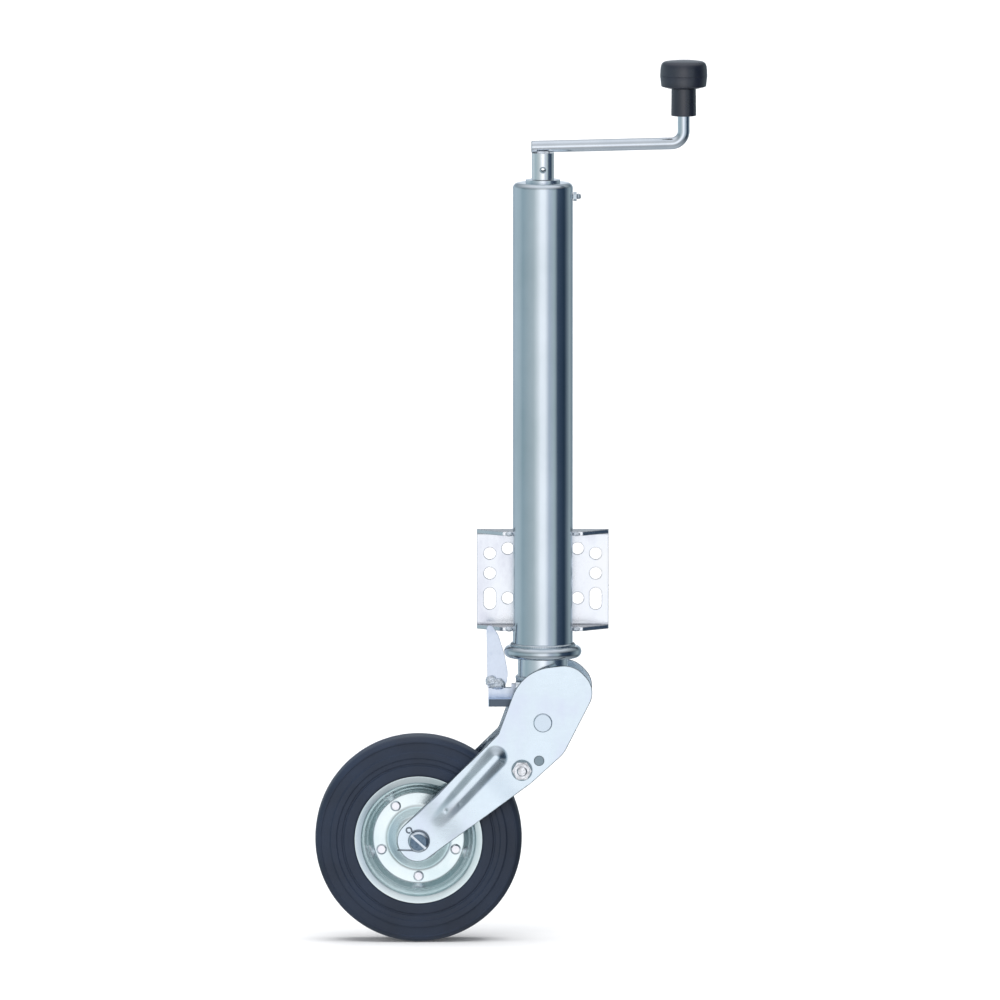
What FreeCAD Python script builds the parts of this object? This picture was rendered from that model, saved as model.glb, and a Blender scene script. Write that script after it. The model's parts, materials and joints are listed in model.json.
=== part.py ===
import FreeCAD, Part
import math
import os
import Sketcher
from FreeCAD import Placement, Rotation, Vector

# Jockey wheel with a folding fork, for the drawbar of a trailer or caravan.
# Millimetres. The origin is the centre of the mounting plate's back face, which bolts to the drawbar.
# +X is the side that the crank handle reaches to, +Y points at the drawbar, and +Z is up.
# "Near" is the side of the viewer, -Y, and "far" is the drawbar side.

doc = FreeCAD.newDocument("jockey_wheel")
sheet = doc.addObject("Spreadsheet::Sheet", "Sizes")
sheet_row = 0


class Term:
    """A size or a sum of sizes: the formula that binds a feature to the sheet, and its value."""

    def __init__(self, text, value):
        self.text = text
        self.value = float(value)

    def joined(self, sign, other, value):
        return Term("(%s %s %s)" % (self.text, sign, other.text), value)

    def __add__(self, other):
        other = term(other)
        return self.joined("+", other, self.value + other.value)

    def __sub__(self, other):
        other = term(other)
        return self.joined("-", other, self.value - other.value)

    def __mul__(self, other):
        other = term(other)
        return self.joined("*", other, self.value * other.value)

    def __truediv__(self, other):
        other = term(other)
        return self.joined("/", other, self.value / other.value)

    def __neg__(self):
        return Term("(0 - %s)" % self.text, -self.value)

    __radd__ = __add__
    __rmul__ = __mul__

    def __rsub__(self, other):
        return term(other) - self


def term(number):
    return number if isinstance(number, Term) else Term("(%r)" % number, number)


def cosine(degrees):
    return Term("cos(%s * 1 deg)" % degrees.text, math.cos(math.radians(degrees.value)))


def sine(degrees):
    return Term("sin(%s * 1 deg)" % degrees.text, math.sin(math.radians(degrees.value)))


def size(alias, value):
    """Writes one driving dimension into the sheet."""
    global sheet_row
    sheet_row += 1
    sheet.set("A%d" % sheet_row, alias)
    sheet.set("B%d" % sheet_row, str(value))
    sheet.setAlias("B%d" % sheet_row, alias)
    return Term("Sizes.%s" % alias, value)


# Sizes: telescopic column
column_diameter = size("column_diameter", 60)
column_wall = size("column_wall", 2.5)
column_top = size("column_top", 400.7)
column_top_roll = size("column_top_roll", 5.5)
column_top_wall = size("column_top_wall", 3)
column_depth = size("column_depth", 76)
collar_width = size("collar_width", 12)
collar_height = size("collar_height", 8.75)
weld_width = size("weld_width", 2.5)
bush_length = size("bush_length", 34)
slide_fit = size("slide_fit", 0.06)
stem_diameter = size("stem_diameter", 50)
stem_wall = size("stem_wall", 2.5)
stem_foot = size("stem_foot", 97)
travel = size("travel", 200)
nut_head_room = size("nut_head_room", 50)
slide_ring_length = size("slide_ring_length", 14)

# Sizes: screw, its bearing and the crank
screw_diameter = size("screw_diameter", 20)
travel_spare = size("travel_spare", 4)
screw_fit = size("screw_fit", 0.1)
journal_diameter = size("journal_diameter", 14)
shoulder_diameter = size("shoulder_diameter", 34)
shoulder_height = size("shoulder_height", 5)
nut_length = size("nut_length", 28)
nut_flange = size("nut_flange", 4)
race_height = size("race_height", 2.5)
race_diameter = size("race_diameter", 36)
ball_diameter = size("ball_diameter", 5)
ball_count = size("ball_count", 12)
stop_collar_height = size("stop_collar_height", 6)
stop_collar_diameter = size("stop_collar_diameter", 30)
washer_diameter = size("washer_diameter", 34.4)
washer_height = size("washer_height", 3)
sleeve_diameter = size("sleeve_diameter", 22.3)
sleeve_height = size("sleeve_height", 26.5)
end_play = size("end_play", 0.3)
roll_pin_diameter = size("roll_pin_diameter", 6.4)
roll_pin_wall = size("roll_pin_wall", 1.3)
roll_pin_height = size("roll_pin_height", 10)
rod_diameter = size("rod_diameter", 12)
arm_overhang = size("arm_overhang", 11.6)
crank_reach = size("crank_reach", 140.5)
rod_bend = size("rod_bend", 12.5)
arm_tilt = size("arm_tilt", 1.4)
weld_bead = size("weld_bead", 3.2)

# Sizes: knob
neck_base = size("neck_base", 32.6)
neck_diameter = size("neck_diameter", 24.7)
neck_height = size("neck_height", 25.1)
cap_diameter = size("cap_diameter", 47.4)
cap_height = size("cap_height", 22.9)
cap_wall = size("cap_wall", 3)
cap_cone = size("cap_cone", 5.8)
knob_fit = size("knob_fit", 0.08)
clip_height = size("clip_height", 1.2)
clip_diameter = size("clip_diameter", 18)
rod_end = size("rod_end", 2)

# Sizes: grease nipple
nipple_height = size("nipple_height", 13.9)
nipple_across_flats = size("nipple_across_flats", 8)
nipple_base = size("nipple_base", 3.8)
nipple_ball = size("nipple_ball", 5.7)
nipple_length = size("nipple_length", 8)

# Sizes: mounting plate
plate_margin = size("plate_margin", 13)
plate_height = size("plate_height", 100)
plate_sheet = size("plate_sheet", 4)
plate_bend = size("plate_bend", 6)
plate_corner = size("plate_corner", 3)
flange_shoulder = size("flange_shoulder", 80)
flange_tip = size("flange_tip", 10)
bolt_hole = size("bolt_hole", 12)
slot_length = size("slot_length", 22)
hole_columns_apart = size("hole_columns_apart", 18)
inner_holes_high = size("inner_holes_high", 50)
inner_holes_rise = size("inner_holes_rise", 5)
outer_holes_wide = size("outer_holes_wide", 106)
outer_holes_high = size("outer_holes_high", 20)
outer_holes_rise = size("outer_holes_rise", 15)
slot_drop = size("slot_drop", 20.5)

# Sizes: foot of the stem and the fork's pivot
foot_sheet = size("foot_sheet", 4)
foot_width = size("foot_width", 54)
foot_depth = size("foot_depth", 54)
foot_bend = size("foot_bend", 6)
foot_lobe = size("foot_lobe", 40.6)
foot_web = size("foot_web", 4)
lobe_right = size("lobe_right", 9)
lobe_clearance = size("lobe_clearance", 17)
pivot_drop = size("pivot_drop", 41.6)
pivot_diameter = size("pivot_diameter", 14)
pivot_head = size("pivot_head", 18.7)
pivot_head_height = size("pivot_head_height", 2.8)
pivot_fit = size("pivot_fit", 0.08)
pivot_spacer_diameter = size("pivot_spacer_diameter", 22)
side_gap = size("side_gap", 0.2)
stop_gap = size("stop_gap", 0.35)

# Sizes: fork
wheel_gap = size("wheel_gap", 20.5)
arm_slope = size("arm_slope", 43.7)
fork_inside = size("fork_inside", 58)
cheek_sheet = size("cheek_sheet", 4)
arm_step = size("arm_step", 3)
step_run = size("step_run", 12)
step_round = size("step_round", 22)
step_start = size("step_start", 62)
step_end = size("step_end", 37)
arm_width_above = size("arm_width_above", 22)
end_radius = size("end_radius", 21)
heel_depth = size("heel_depth", 37.6)
rib_width = size("rib_width", 20)
rib_height = size("rib_height", 3.6)
rib_start = size("rib_start", 46)
rib_end = size("rib_end", 24)
rib_offset = size("rib_offset", 1.5)
rib_lean = size("rib_lean", 6)
rib_slope = size("rib_slope", 30)
rib_fade = size("rib_fade", 26)
rib_round = size("rib_round", 3)
stop_pin_along = size("stop_pin_along", 29)
stop_pin_below = size("stop_pin_below", 25)
stop_pin_diameter = size("stop_pin_diameter", 9.5)
latch_bolt_along = size("latch_bolt_along", 48)
latch_bolt_below = size("latch_bolt_below", 20)
latch_bolt_diameter = size("latch_bolt_diameter", 10)
latch_bolt_flats = size("latch_bolt_flats", 17)
latch_bolt_head = size("latch_bolt_head", 6.4)
latch_nut_height = size("latch_nut_height", 8)
latch_bolt_end = size("latch_bolt_end", 2.5)
latch_washer_diameter = size("latch_washer_diameter", 21)
latch_washer_height = size("latch_washer_height", 1.8)
spacer_diameter = size("spacer_diameter", 16)

# Sizes: latch
latch_sheet = size("latch_sheet", 10)
latch_hub = size("latch_hub", 24)
latch_head_overlap = size("latch_head_overlap", 1.6)
latch_head_play = size("latch_head_play", 1.8)
block_left = size("block_left", 54.4)
block_right = size("block_right", 29)
block_bottom = size("block_bottom", 26.5)
block_height = size("block_height", 7.5)
block_width = size("block_width", 45)
block_rise = size("block_rise", 9.5)
fin_sheet = size("fin_sheet", 5)
fin_left = size("fin_left", 56.4)
fin_height = size("fin_height", 62.5)
fin_foot = size("fin_foot", 38.3)
fin_weld_length = size("fin_weld_length", 16)
spring_wire = size("spring_wire", 2)
spring_turns = size("spring_turns", 4)
spring_pitch = size("spring_pitch", 2.3)
spring_sweep = size("spring_sweep", 110)
spring_leg = size("spring_leg", 24)
spring_start = size("spring_start", 200)
spring_hook = size("spring_hook", 7)

# Sizes: wheel and axle
tyre_diameter = size("tyre_diameter", 207)
tyre_width = size("tyre_width", 50)
rim_sheet = size("rim_sheet", 2.5)
rim_diameter = size("rim_diameter", 128)
rim_disc = size("rim_disc", 46)
rim_boss = size("rim_boss", 30)
rivet_circle = size("rivet_circle", 78)
rivet_head = size("rivet_head", 10.6)
rivet_count = size("rivet_count", 5)
rivet_height = size("rivet_height", 1.8)
rivet_shank = size("rivet_shank", 6)
rivet_turn = size("rivet_turn", 54)
hub_diameter = size("hub_diameter", 32)
hub_length = size("hub_length", 54)
hub_wall = size("hub_wall", 3)
hub_bush_length = size("hub_bush_length", 14)
hub_bush_flange = size("hub_bush_flange", 1.6)
axle_diameter = size("axle_diameter", 20)
axle_fit = size("axle_fit", 0.08)
axle_end = size("axle_end", 12)
axle_chamfer = size("axle_chamfer", 2)
axle_slot = size("axle_slot", 2.5)
axle_slot_depth = size("axle_slot_depth", 3)
axle_slot_turn = size("axle_slot_turn", 42)
clip_wire = size("clip_wire", 1.8)
clip_eye = size("clip_eye", 3)
clip_tail = size("clip_tail", 14)

doc.recompute()

# Places that several pieces share
whole_turn = 360
column_radius = column_diameter / 2
stem_radius = stem_diameter / 2
column_y = -(plate_sheet + column_radius)
pivot_z = -(stem_foot + pivot_drop)
slope_cosine = cosine(arm_slope)
slope_sine = sine(arm_slope)
cheek_in = fork_inside / 2
cheek_out = cheek_in + cheek_sheet
cut_depth = fork_inside * 4
plate_width = outer_holes_wide + plate_margin * 2
inner_holes_wide = outer_holes_wide - hole_columns_apart * 2
arm_length = latch_bolt_along + tyre_diameter / 2 + wheel_gap


def fork_point(along, across):
    """X and Z of a point given along the fork's arm from the pivot, and across it, upwards."""
    x = -(along * slope_cosine) - across * slope_sine
    z = pivot_z - along * slope_sine + across * slope_cosine
    return x, z


axle_x, axle_z = fork_point(arm_length, term(0))
latch_x, latch_z = fork_point(latch_bolt_along, -latch_bolt_below)
stop_x, stop_z = fork_point(stop_pin_along, -stop_pin_below)


def body(name, x=0, y=column_y, z=0, turn=Rotation()):
    """An empty body whose own origin is at x, y, z."""
    made = doc.addObject("PartDesign::Body", name)
    made.Label = name
    spot = [term(x), term(y), term(z)]
    made.Placement = Placement(Vector(*[place.value for place in spot]), turn)
    for axis, place in zip("xyz", spot):
        made.setExpression("Placement.Base." + axis, place.text)
    return made


def plane(owner, role):
    return [one for one in owner.Origin.OriginFeatures if one.Role == role][0]


def sketch(owner, role, lift=0):
    """An empty sketch on one of the body's own planes, lifted along the plane's normal."""
    made = owner.newObject("Sketcher::SketchObject", owner.Name + "_sketch")
    made.AttachmentSupport = [(plane(owner, role + "_Plane"), "")]
    made.MapMode = "FlatFace"
    lift = term(lift)
    made.AttachmentOffset = Placement(Vector(0, 0, lift.value), Rotation())
    made.setExpression("AttachmentOffset.Base.z", lift.text)
    return made


def bind(drawing, kind, geometry, point, length):
    number = drawing.addConstraint(Sketcher.Constraint(kind, geometry, point, length.value))
    drawing.setExpression("Constraints[%d]" % number, length.text)


def outline(drawing, corners):
    """Adds a closed outline of straight lines, with each corner bound to its sizes."""
    corners = [(term(across), term(up)) for across, up in corners]
    first = drawing.GeometryCount
    count = len(corners)
    for index in range(count):
        start, end = corners[index], corners[(index + 1) % count]
        ends = [Vector(across.value, up.value, 0) for across, up in (start, end)]
        drawing.addGeometry(Part.LineSegment(*ends))
    for index in range(count):
        following = first + (index + 1) % count
        drawing.addConstraint(Sketcher.Constraint("Coincident", first + index, 2, following, 1))
    for index, (across, up) in enumerate(corners):
        bind(drawing, "DistanceX", first + index, 1, across)
        bind(drawing, "DistanceY", first + index, 1, up)
    return drawing


def circle(drawing, across, up, radius):
    across, up, radius = term(across), term(up), term(radius)
    centre = Vector(across.value, up.value, 0)
    number = drawing.addGeometry(Part.Circle(centre, Vector(0, 0, 1), radius.value))
    bind(drawing, "DistanceX", number, 3, across)
    bind(drawing, "DistanceY", number, 3, up)
    mark = drawing.addConstraint(Sketcher.Constraint("Radius", number, radius.value))
    drawing.setExpression("Constraints[%d]" % mark, radius.text)
    return drawing


def slot(drawing, start, stop, radius):
    """Adds a slot with round ends about two centres."""
    centres = [(term(across), term(up)) for across, up in (start, stop)]
    spots = [Vector(across.value, up.value, 0) for across, up in centres]
    radius = term(radius)
    direction = (spots[1] - spots[0]).normalize()
    aside = Vector(-direction.y, direction.x, 0) * radius.value
    angle = math.atan2(direction.y, direction.x)
    first = drawing.addGeometry(Part.LineSegment(spots[0] + aside, spots[1] + aside))
    drawing.addGeometry(Part.LineSegment(spots[1] - aside, spots[0] - aside))
    for index, spot in enumerate(spots):
        begin = angle + math.pi / 2 - math.pi * index
        end = Part.Circle(spot, Vector(0, 0, 1), radius.value)
        number = drawing.addGeometry(Part.ArcOfCircle(end, begin, begin + math.pi))
        bind(drawing, "DistanceX", number, 3, centres[index][0])
        bind(drawing, "DistanceY", number, 3, centres[index][1])
    for line, point, arc, end in [(0, 1, 2, 1), (0, 2, 3, 2), (1, 1, 3, 1), (1, 2, 2, 2)]:
        drawing.addConstraint(Sketcher.Constraint("Tangent", first + line, point, first + arc, end))
    mark = drawing.addConstraint(Sketcher.Constraint("Radius", first + 2, radius.value))
    drawing.setExpression("Constraints[%d]" % mark, radius.text)
    return drawing


def extrude(owner, kind, drawing, length, both=False, backwards=False, taper=0):
    """A pad or a pocket of a sketch, on one side of it or half on each, with a slope to its sides."""
    length = term(length)
    made = owner.newObject("PartDesign::" + kind, owner.Name + "_" + kind.lower())
    made.Profile = drawing
    made.SideType = "Symmetric" if both else "One side"
    made.Reversed = backwards
    made.Length = length.value
    made.setExpression("Length", length.text)
    made.TaperAngle = term(taper).value
    made.setExpression("TaperAngle", term(taper).text)
    doc.recompute()
    return made


def pad(owner, drawing, length, both=False, backwards=False):
    return extrude(owner, "Pad", drawing, length, both, backwards)


def pocket(owner, drawing, length, both=True, backwards=False):
    """A pocket, which has to take something away."""
    before = owner.Shape.Volume
    made = extrude(owner, "Pocket", drawing, length, both, backwards)
    if owner.Shape.Volume > before - 0.01:
        raise RuntimeError(made.Name + " cuts nothing")
    return made


def revolve(owner, corners, rounds=()):
    """Turns an outline of (radius, height) about the body's Z axis, then rounds its edges."""
    drawing = outline(sketch(owner, "XZ"), corners)
    made = owner.newObject("PartDesign::Revolution", owner.Name + "_turned")
    made.Profile = drawing
    made.ReferenceAxis = (drawing, ["V_Axis"])
    made.Angle = whole_turn
    doc.recompute()
    for radius, places in rounds:
        spots = [Vector(0, term(reach).value, term(up).value) for reach, up in places]
        soften(owner, "Fillet", radius, spots)
    return made


def soften(owner, kind, amount, spots):
    """A fillet or chamfer on the edges that pass through the given points of the body."""
    amount = term(amount)
    edges = owner.Tip.Shape.Edges
    names = []
    for spot in spots:
        near = [edge.distToShape(Part.Vertex(spot))[0] for edge in edges]
        names.append("Edge%d" % (near.index(min(near)) + 1))
    base = owner.Tip
    made = owner.newObject("PartDesign::" + kind, owner.Name + "_" + kind.lower())
    made.Base = (base, sorted(set(names)))
    side = "Radius" if kind == "Fillet" else "Size"
    setattr(made, side, amount.value)
    made.setExpression(side, amount.text)
    doc.recompute()
    if made.Shape.isNull() or not made.Shape.isValid():
        raise RuntimeError("%s can't be made: %s of %s near %s" % (made.Name, kind, amount.value, spots))
    return made


def hexagon(across_flats):
    """Corners of a hexagon with two of them on the first axis."""
    reach = term(across_flats) / math.sqrt(3)
    half = term(across_flats) / 2
    right = [(reach / 2, -half), (reach, 0), (reach / 2, half)]
    return right + [(-across, -up) for across, up in right]


def washer(name, inner, outer, bottom, top, **place):
    """A flat ring about the body's Z axis."""
    made = body(name, **place)
    revolve(made, [(inner, bottom), (outer, bottom), (outer, top), (inner, top)])
    return made


def loose(name, shape, place=Placement()):
    """A piece whose shape comes from plain solids."""
    made = doc.addObject("Part::Feature", name)
    made.Label = name
    made.Shape = shape
    made.Placement = place
    return made


# Rotations: a body's Z axis laid along the axle, pointing at the viewer, and the fork's own frame
FACING = Rotation(Vector(1, 0, 0), 90)
FORK_TURN = Rotation(Vector(0, 1, 0), -arm_slope.value) * Rotation(Vector(0, 0, 1), 180)

# Column: the outer tube, its rolled top and the bead at its lower end
bore_radius = column_radius - column_wall
journal_radius = journal_diameter / 2


def outer_tube():
    tube = body("outer_tube")
    ceiling = column_top - column_top_wall
    hole = journal_radius + screw_fit
    corners = [
        (column_radius, -column_depth),
        (column_radius, column_top),
        (hole, column_top),
        (hole, ceiling),
        (bore_radius, ceiling),
        (bore_radius, -column_depth),
    ]
    inside_roll = column_top_roll - column_wall
    rounds = [(column_top_roll, [(column_radius, column_top)]), (inside_roll, [(bore_radius, ceiling)])]
    revolve(tube, corners, rounds)
    bulge = sketch(tube, "YZ")
    circle(bulge, 0, column_top - nipple_height, nipple_across_flats / 4)
    pocket(tube, bulge, column_diameter, both=False, backwards=True)
    return tube


def collar_ring():
    ring = body("collar_ring")
    outside = column_radius + collar_height
    top = collar_width - column_depth
    corners = [(column_radius, -column_depth), (outside, -column_depth), (outside, top), (column_radius, top)]
    revolve(ring, corners, [(collar_width / 2 - 0.1, [(outside, -column_depth), (outside, top)])])


def ring_weld(name, radius, bottom):
    """A fillet weld round a tube that stands on a flat."""
    bead = body(name)
    revolve(bead, [(radius, bottom), (radius + weld_width, bottom), (radius, bottom + weld_width)])


def guide_bush():
    bush = body("guide_bush")
    inside = stem_radius + slide_fit
    top = bush_length - column_depth
    revolve(bush, [(inside, -column_depth), (bore_radius, -column_depth), (bore_radius, top), (inside, top)])


def grease_nipple():
    """A hexagon with a ball head, pointing out of the tube along +X."""
    turn = Rotation(Vector(0, 1, 0), 90)
    nipple = body("grease_nipple", x=column_radius, z=column_top - nipple_height, turn=turn)
    stub = nipple_across_flats / 4
    neck = nipple_ball / 3
    ball = nipple_ball / 2
    corners = [
        (0, -column_wall),
        (stub, -column_wall),
        (stub, nipple_base / 2),
        (neck, nipple_base),
        (neck, nipple_length - nipple_ball * 0.8),
        (ball, nipple_length - nipple_ball * 0.55),
        (ball, nipple_length - nipple_ball * 0.35),
        (neck, nipple_length),
        (0, nipple_length),
    ]
    revolve(nipple, corners)
    flats = outline(sketch(nipple, "XY", lift=0.4), hexagon(nipple_across_flats))
    pad(nipple, flats, nipple_base - 0.4)


def mounting_plate():
    """One sheet: a back plate with bolt holes, and two flanges folded forward to hold the tube."""
    plate = body("mounting_plate", y=0)
    half_high = plate_height / 2
    half_wide = plate_width / 2
    inner_bend = plate_bend - plate_sheet
    section = [
        (0, -half_high),
        (0, half_high),
        (column_y, half_high),
        (column_y, half_high - plate_sheet),
        (-plate_sheet, half_high - plate_sheet),
        (-plate_sheet, plate_sheet - half_high),
        (column_y, plate_sheet - half_high),
        (column_y, -half_high),
    ]
    pad(plate, outline(sketch(plate, "YZ"), section), plate_width, both=True)
    high = half_high.value
    soften(plate, "Fillet", plate_bend, [Vector(0, 0, high), Vector(0, 0, -high)])
    inside = high - plate_sheet.value
    creases = [Vector(0, -plate_sheet.value, inside * end) for end in (-1, 1)]
    soften(plate, "Fillet", inner_bend, creases)
    shoulder = flange_shoulder / 2
    beyond = half_wide + 1
    tapers = sketch(plate, "XY")
    for side in (-1, 1):
        taper = [
            (shoulder * side, column_y),
            (half_wide * side, -flange_tip),
            (beyond * side, -flange_tip),
            (beyond * side, column_y - 1),
            (shoulder * side, column_y - 1),
        ]
        outline(tapers, taper)
    pocket(plate, tapers, plate_height + 1)
    saddle = sketch(plate, "XY")
    circle(saddle, 0, column_y, column_radius)
    pocket(plate, saddle, plate_height + 1)
    tip = half_wide.value
    tips = [Vector(across, -flange_tip.value, (high - 1) * end) for across in (-tip, tip) for end in (-1, 1)]
    soften(plate, "Fillet", plate_corner, tips)
    holes = sketch(plate, "XZ")
    for side in (-1, 1):
        for end in (-1, 1):
            up = inner_holes_rise + inner_holes_high * end / 2
            circle(holes, inner_holes_wide * side / 2, up, bolt_hole / 2)
            up = outer_holes_rise + outer_holes_high * end / 2
            circle(holes, outer_holes_wide * side / 2, up, bolt_hole / 2)
    pocket(plate, holes, plate_sheet * 3)
    slots = sketch(plate, "XZ")
    for side in (-1, 1):
        middle = outer_holes_wide * side / 2
        low = -(slot_drop + slot_length / 2)
        edge = bolt_hole / 2
        outline(slots, [
            (middle - edge, low),
            (middle + edge, low),
            (middle + edge, low + slot_length),
            (middle - edge, low + slot_length),
        ])
    pocket(plate, slots, plate_sheet * 3)
    ends = []
    for side in (-1, 1):
        for edge in (-1, 1):
            for end in (0, 1):
                across = outer_holes_wide.value * side / 2 + bolt_hole.value * edge / 2
                low = -(slot_drop.value + slot_length.value / 2)
                ends.append(Vector(across, -plate_sheet.value / 2, low + slot_length.value * end))
    soften(plate, "Fillet", bolt_hole / 2 - 0.01, ends)


def plate_welds():
    """Four short beads where the flanges' front edges meet the tube."""
    beads = []
    length = flange_shoulder.value / 2 - column_radius.value
    radius = weld_bead.value
    for side in (-1, 1):
        for end in (-1, 1):
            bead = Part.makeCylinder(radius, length, Vector(0, 0, 0), Vector(1, 0, 0), whole_turn)
            middle = column_radius.value + length / 2
            height = end * (plate_height.value / 2 - plate_sheet.value / 2)
            bead.translate(Vector(side * middle - length / 2, column_y.value, height))
            keep = Part.makeBox(length * 2, radius, radius * 2)
            keep.translate(Vector(side * middle - length, column_y.value - radius, height - radius))
            beads.append(bead.common(keep).cut(Part.makeCylinder(
                column_radius.value, radius * 4, Vector(0, column_y.value, height - radius * 2))))
    loose("plate_welds", Part.makeCompound(beads))


outer_tube()
collar_ring()
ring_weld("collar_weld", column_radius, collar_width - column_depth)
guide_bush()
grease_nipple()
mounting_plate()
plate_welds()

# Screw bearing: two races and a ring of balls under the tube's top, which carries the load
race_top = column_top - column_top_wall
ball_level = race_top - race_height - ball_diameter / 2
lower_race_top = race_top - race_height - ball_diameter - end_play
shoulder_top = lower_race_top - race_height
ball_ring = (race_diameter - ball_diameter) / 2 - 1
stem_top = shoulder_top - shoulder_height - nut_head_room - nut_flange
screw_bottom = stem_top - nut_length - travel - travel_spare - stop_collar_height


def bearing_balls():
    balls = []
    for index in range(int(ball_count.value)):
        angle = 2 * math.pi * index / ball_count.value
        reach = ball_ring.value
        centre = Vector(reach * math.cos(angle), column_y.value + reach * math.sin(angle), ball_level.value)
        balls.append(Part.makeSphere(ball_diameter.value / 2 - 0.02, centre))
    loose("bearing_balls", Part.makeCompound(balls))


journal_bore = journal_radius + screw_fit
washer("upper_race", journal_bore, race_diameter / 2, race_top - race_height, race_top)
bearing_balls()
washer("lower_race", journal_radius, race_diameter / 2, shoulder_top, lower_race_top)
washer("top_washer", journal_bore, washer_diameter / 2, column_top, column_top + washer_height)

# Crank: screw, sleeve, roll pin, bent rod and its weld
sleeve_bottom = column_top + washer_height + end_play
sleeve_top = sleeve_bottom + sleeve_height
tilt_cosine = cosine(arm_tilt)
tilt_sine = sine(arm_tilt)
rod_level = sleeve_top + (rod_diameter / 2 + sleeve_diameter / 2 * tilt_sine) / tilt_cosine
rod_radius = rod_diameter / 2
roll_pin_level = sleeve_bottom + roll_pin_height


def screw():
    """The spindle: its thread form is left plain, its journal runs through the tube's top."""
    made = body("screw")
    radius = screw_diameter / 2
    shoulder = shoulder_diameter / 2
    bottom = screw_bottom
    low = shoulder_top - shoulder_height
    neck = journal_radius - 2
    corners = [
        (0, bottom),
        (neck, bottom),
        (neck, bottom + stop_collar_height),
        (radius, bottom + stop_collar_height + 2),
        (radius, low),
        (shoulder, low),
        (shoulder, shoulder_top),
        (journal_radius, shoulder_top),
        (journal_radius, sleeve_top - 1),
        (0, sleeve_top - 1),
    ]
    revolve(made, corners)
    hole = circle(sketch(made, "XZ"), 0, roll_pin_level, roll_pin_diameter / 2)
    pocket(made, hole, sleeve_diameter * 2)


def stop_collar():
    """A ring pinned on the screw's lower end, so that the nut can't run off it."""
    bottom = screw_bottom
    washer("stop_collar", journal_radius - 2, stop_collar_diameter / 2, bottom, bottom + stop_collar_height)


def crank_sleeve():
    made = body("crank_sleeve")
    outside = sleeve_diameter / 2
    inside = journal_radius
    corners = [(inside, sleeve_bottom), (outside, sleeve_bottom), (outside, sleeve_top), (inside, sleeve_top)]
    revolve(made, corners)
    hole = circle(sketch(made, "XZ"), 0, roll_pin_level, roll_pin_diameter / 2)
    pocket(made, hole, sleeve_diameter * 2)


def roll_pin():
    """A rolled spring pin: a tube with a slit along it."""
    made = body("roll_pin", z=roll_pin_level, turn=FACING)
    outside = roll_pin_diameter / 2
    half = sleeve_diameter / 2 + 0.2
    inside = outside - roll_pin_wall
    revolve(made, [(inside, -half), (outside, -half), (outside, half), (inside, half)])
    slit = [(0, -0.4), (roll_pin_diameter, -0.4), (roll_pin_diameter, 0.4), (0, 0.4)]
    pocket(made, outline(sketch(made, "XY"), slit), sleeve_diameter * 2)


def rod_height(across):
    """Height of the rod's middle line over the sleeve, which rises a little towards the knob."""
    return rod_level + across * tilt_sine / tilt_cosine


def crank_arm():
    """A round rod: nearly level over the sleeve, bent up at its end to carry the knob."""
    made = body("crank_arm")
    spine = sketch(made, "XZ")
    left = -arm_overhang
    bend_x = crank_reach - rod_bend
    bend_z = rod_height(bend_x) + rod_bend / tilt_cosine
    turn_x = bend_x + rod_bend * tilt_sine
    turn_z = bend_z - rod_bend * tilt_cosine
    top = rod_level + neck_base + neck_height + clip_height + rod_end
    places = [((left, rod_height(left)), (turn_x, turn_z)), ((crank_reach, bend_z), (crank_reach, top))]
    for start, end in places:
        ends = [Vector(across.value, up.value, 0) for across, up in (start, end)]
        number = spine.addGeometry(Part.LineSegment(*ends))
        for point, (across, up) in enumerate((start, end), 1):
            bind(spine, "DistanceX", number, point, across)
            bind(spine, "DistanceY", number, point, up)
    bend = Part.Circle(Vector(bend_x.value, bend_z.value, 0), Vector(0, 0, 1), rod_bend.value)
    tilt = math.radians(arm_tilt.value)
    number = spine.addGeometry(Part.ArcOfCircle(bend, tilt - math.pi / 2, 0))
    spine.addConstraint(Sketcher.Constraint("Coincident", number, 1, 0, 2))
    spine.addConstraint(Sketcher.Constraint("Coincident", number, 2, 1, 1))
    mark = spine.addConstraint(Sketcher.Constraint("Radius", number, rod_bend.value))
    spine.setExpression("Constraints[%d]" % mark, rod_bend.text)
    profile = circle(sketch(made, "YZ", lift=left), 0, rod_height(left), rod_radius)
    pipe = made.newObject("PartDesign::AdditivePipe", "crank_arm_pipe")
    pipe.Profile = profile
    pipe.Spine = (spine, ["Edge1", "Edge2", "Edge3"])
    pipe.Mode = "Standard"
    doc.recompute()
    soften(made, "Chamfer", 0.8, [Vector(left.value, 0, (rod_height(left) + rod_radius).value)])


def crank_welds():
    """Two beads along the rod, on the sleeve's top."""
    beads = []
    reach = sleeve_diameter.value / 2
    radius = weld_bead.value
    half = reach * 0.6
    for side in (-1, 1):
        across = side * rod_radius.value
        bead = Part.makeCylinder(radius, half * 2, Vector(-half, 0, 0), Vector(1, 0, 0))
        bead = bead.fuse([Part.makeSphere(radius, Vector(end * half, 0, 0)) for end in (-1, 1)])
        bead.translate(Vector(0, column_y.value + across, rod_level.value - rod_radius.value))
        start = Vector(-reach * 2, column_y.value, rod_height(-reach * 2).value)
        along = Vector(tilt_cosine.value, 0, tilt_sine.value)
        rod = Part.makeCylinder(rod_radius.value, reach * 4, start, along)
        above = Part.makeBox(reach * 4, reach * 4, reach)
        above.translate(Vector(-reach * 2, column_y.value - reach * 2, sleeve_top.value))
        beads.append(bead.common(above).cut(rod))
    loose("crank_welds", Part.makeCompound(beads))


screw()
stop_collar()
crank_sleeve()
roll_pin()
crank_arm()
crank_welds()

# Knob: a neck that turns on the rod, a hollow cap over it and the clip that keeps them on
neck_bottom = rod_level + neck_base
neck_top = neck_bottom + neck_height
cap_skirt = neck_top + cap_cone
cap_top = cap_skirt + cap_height


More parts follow.
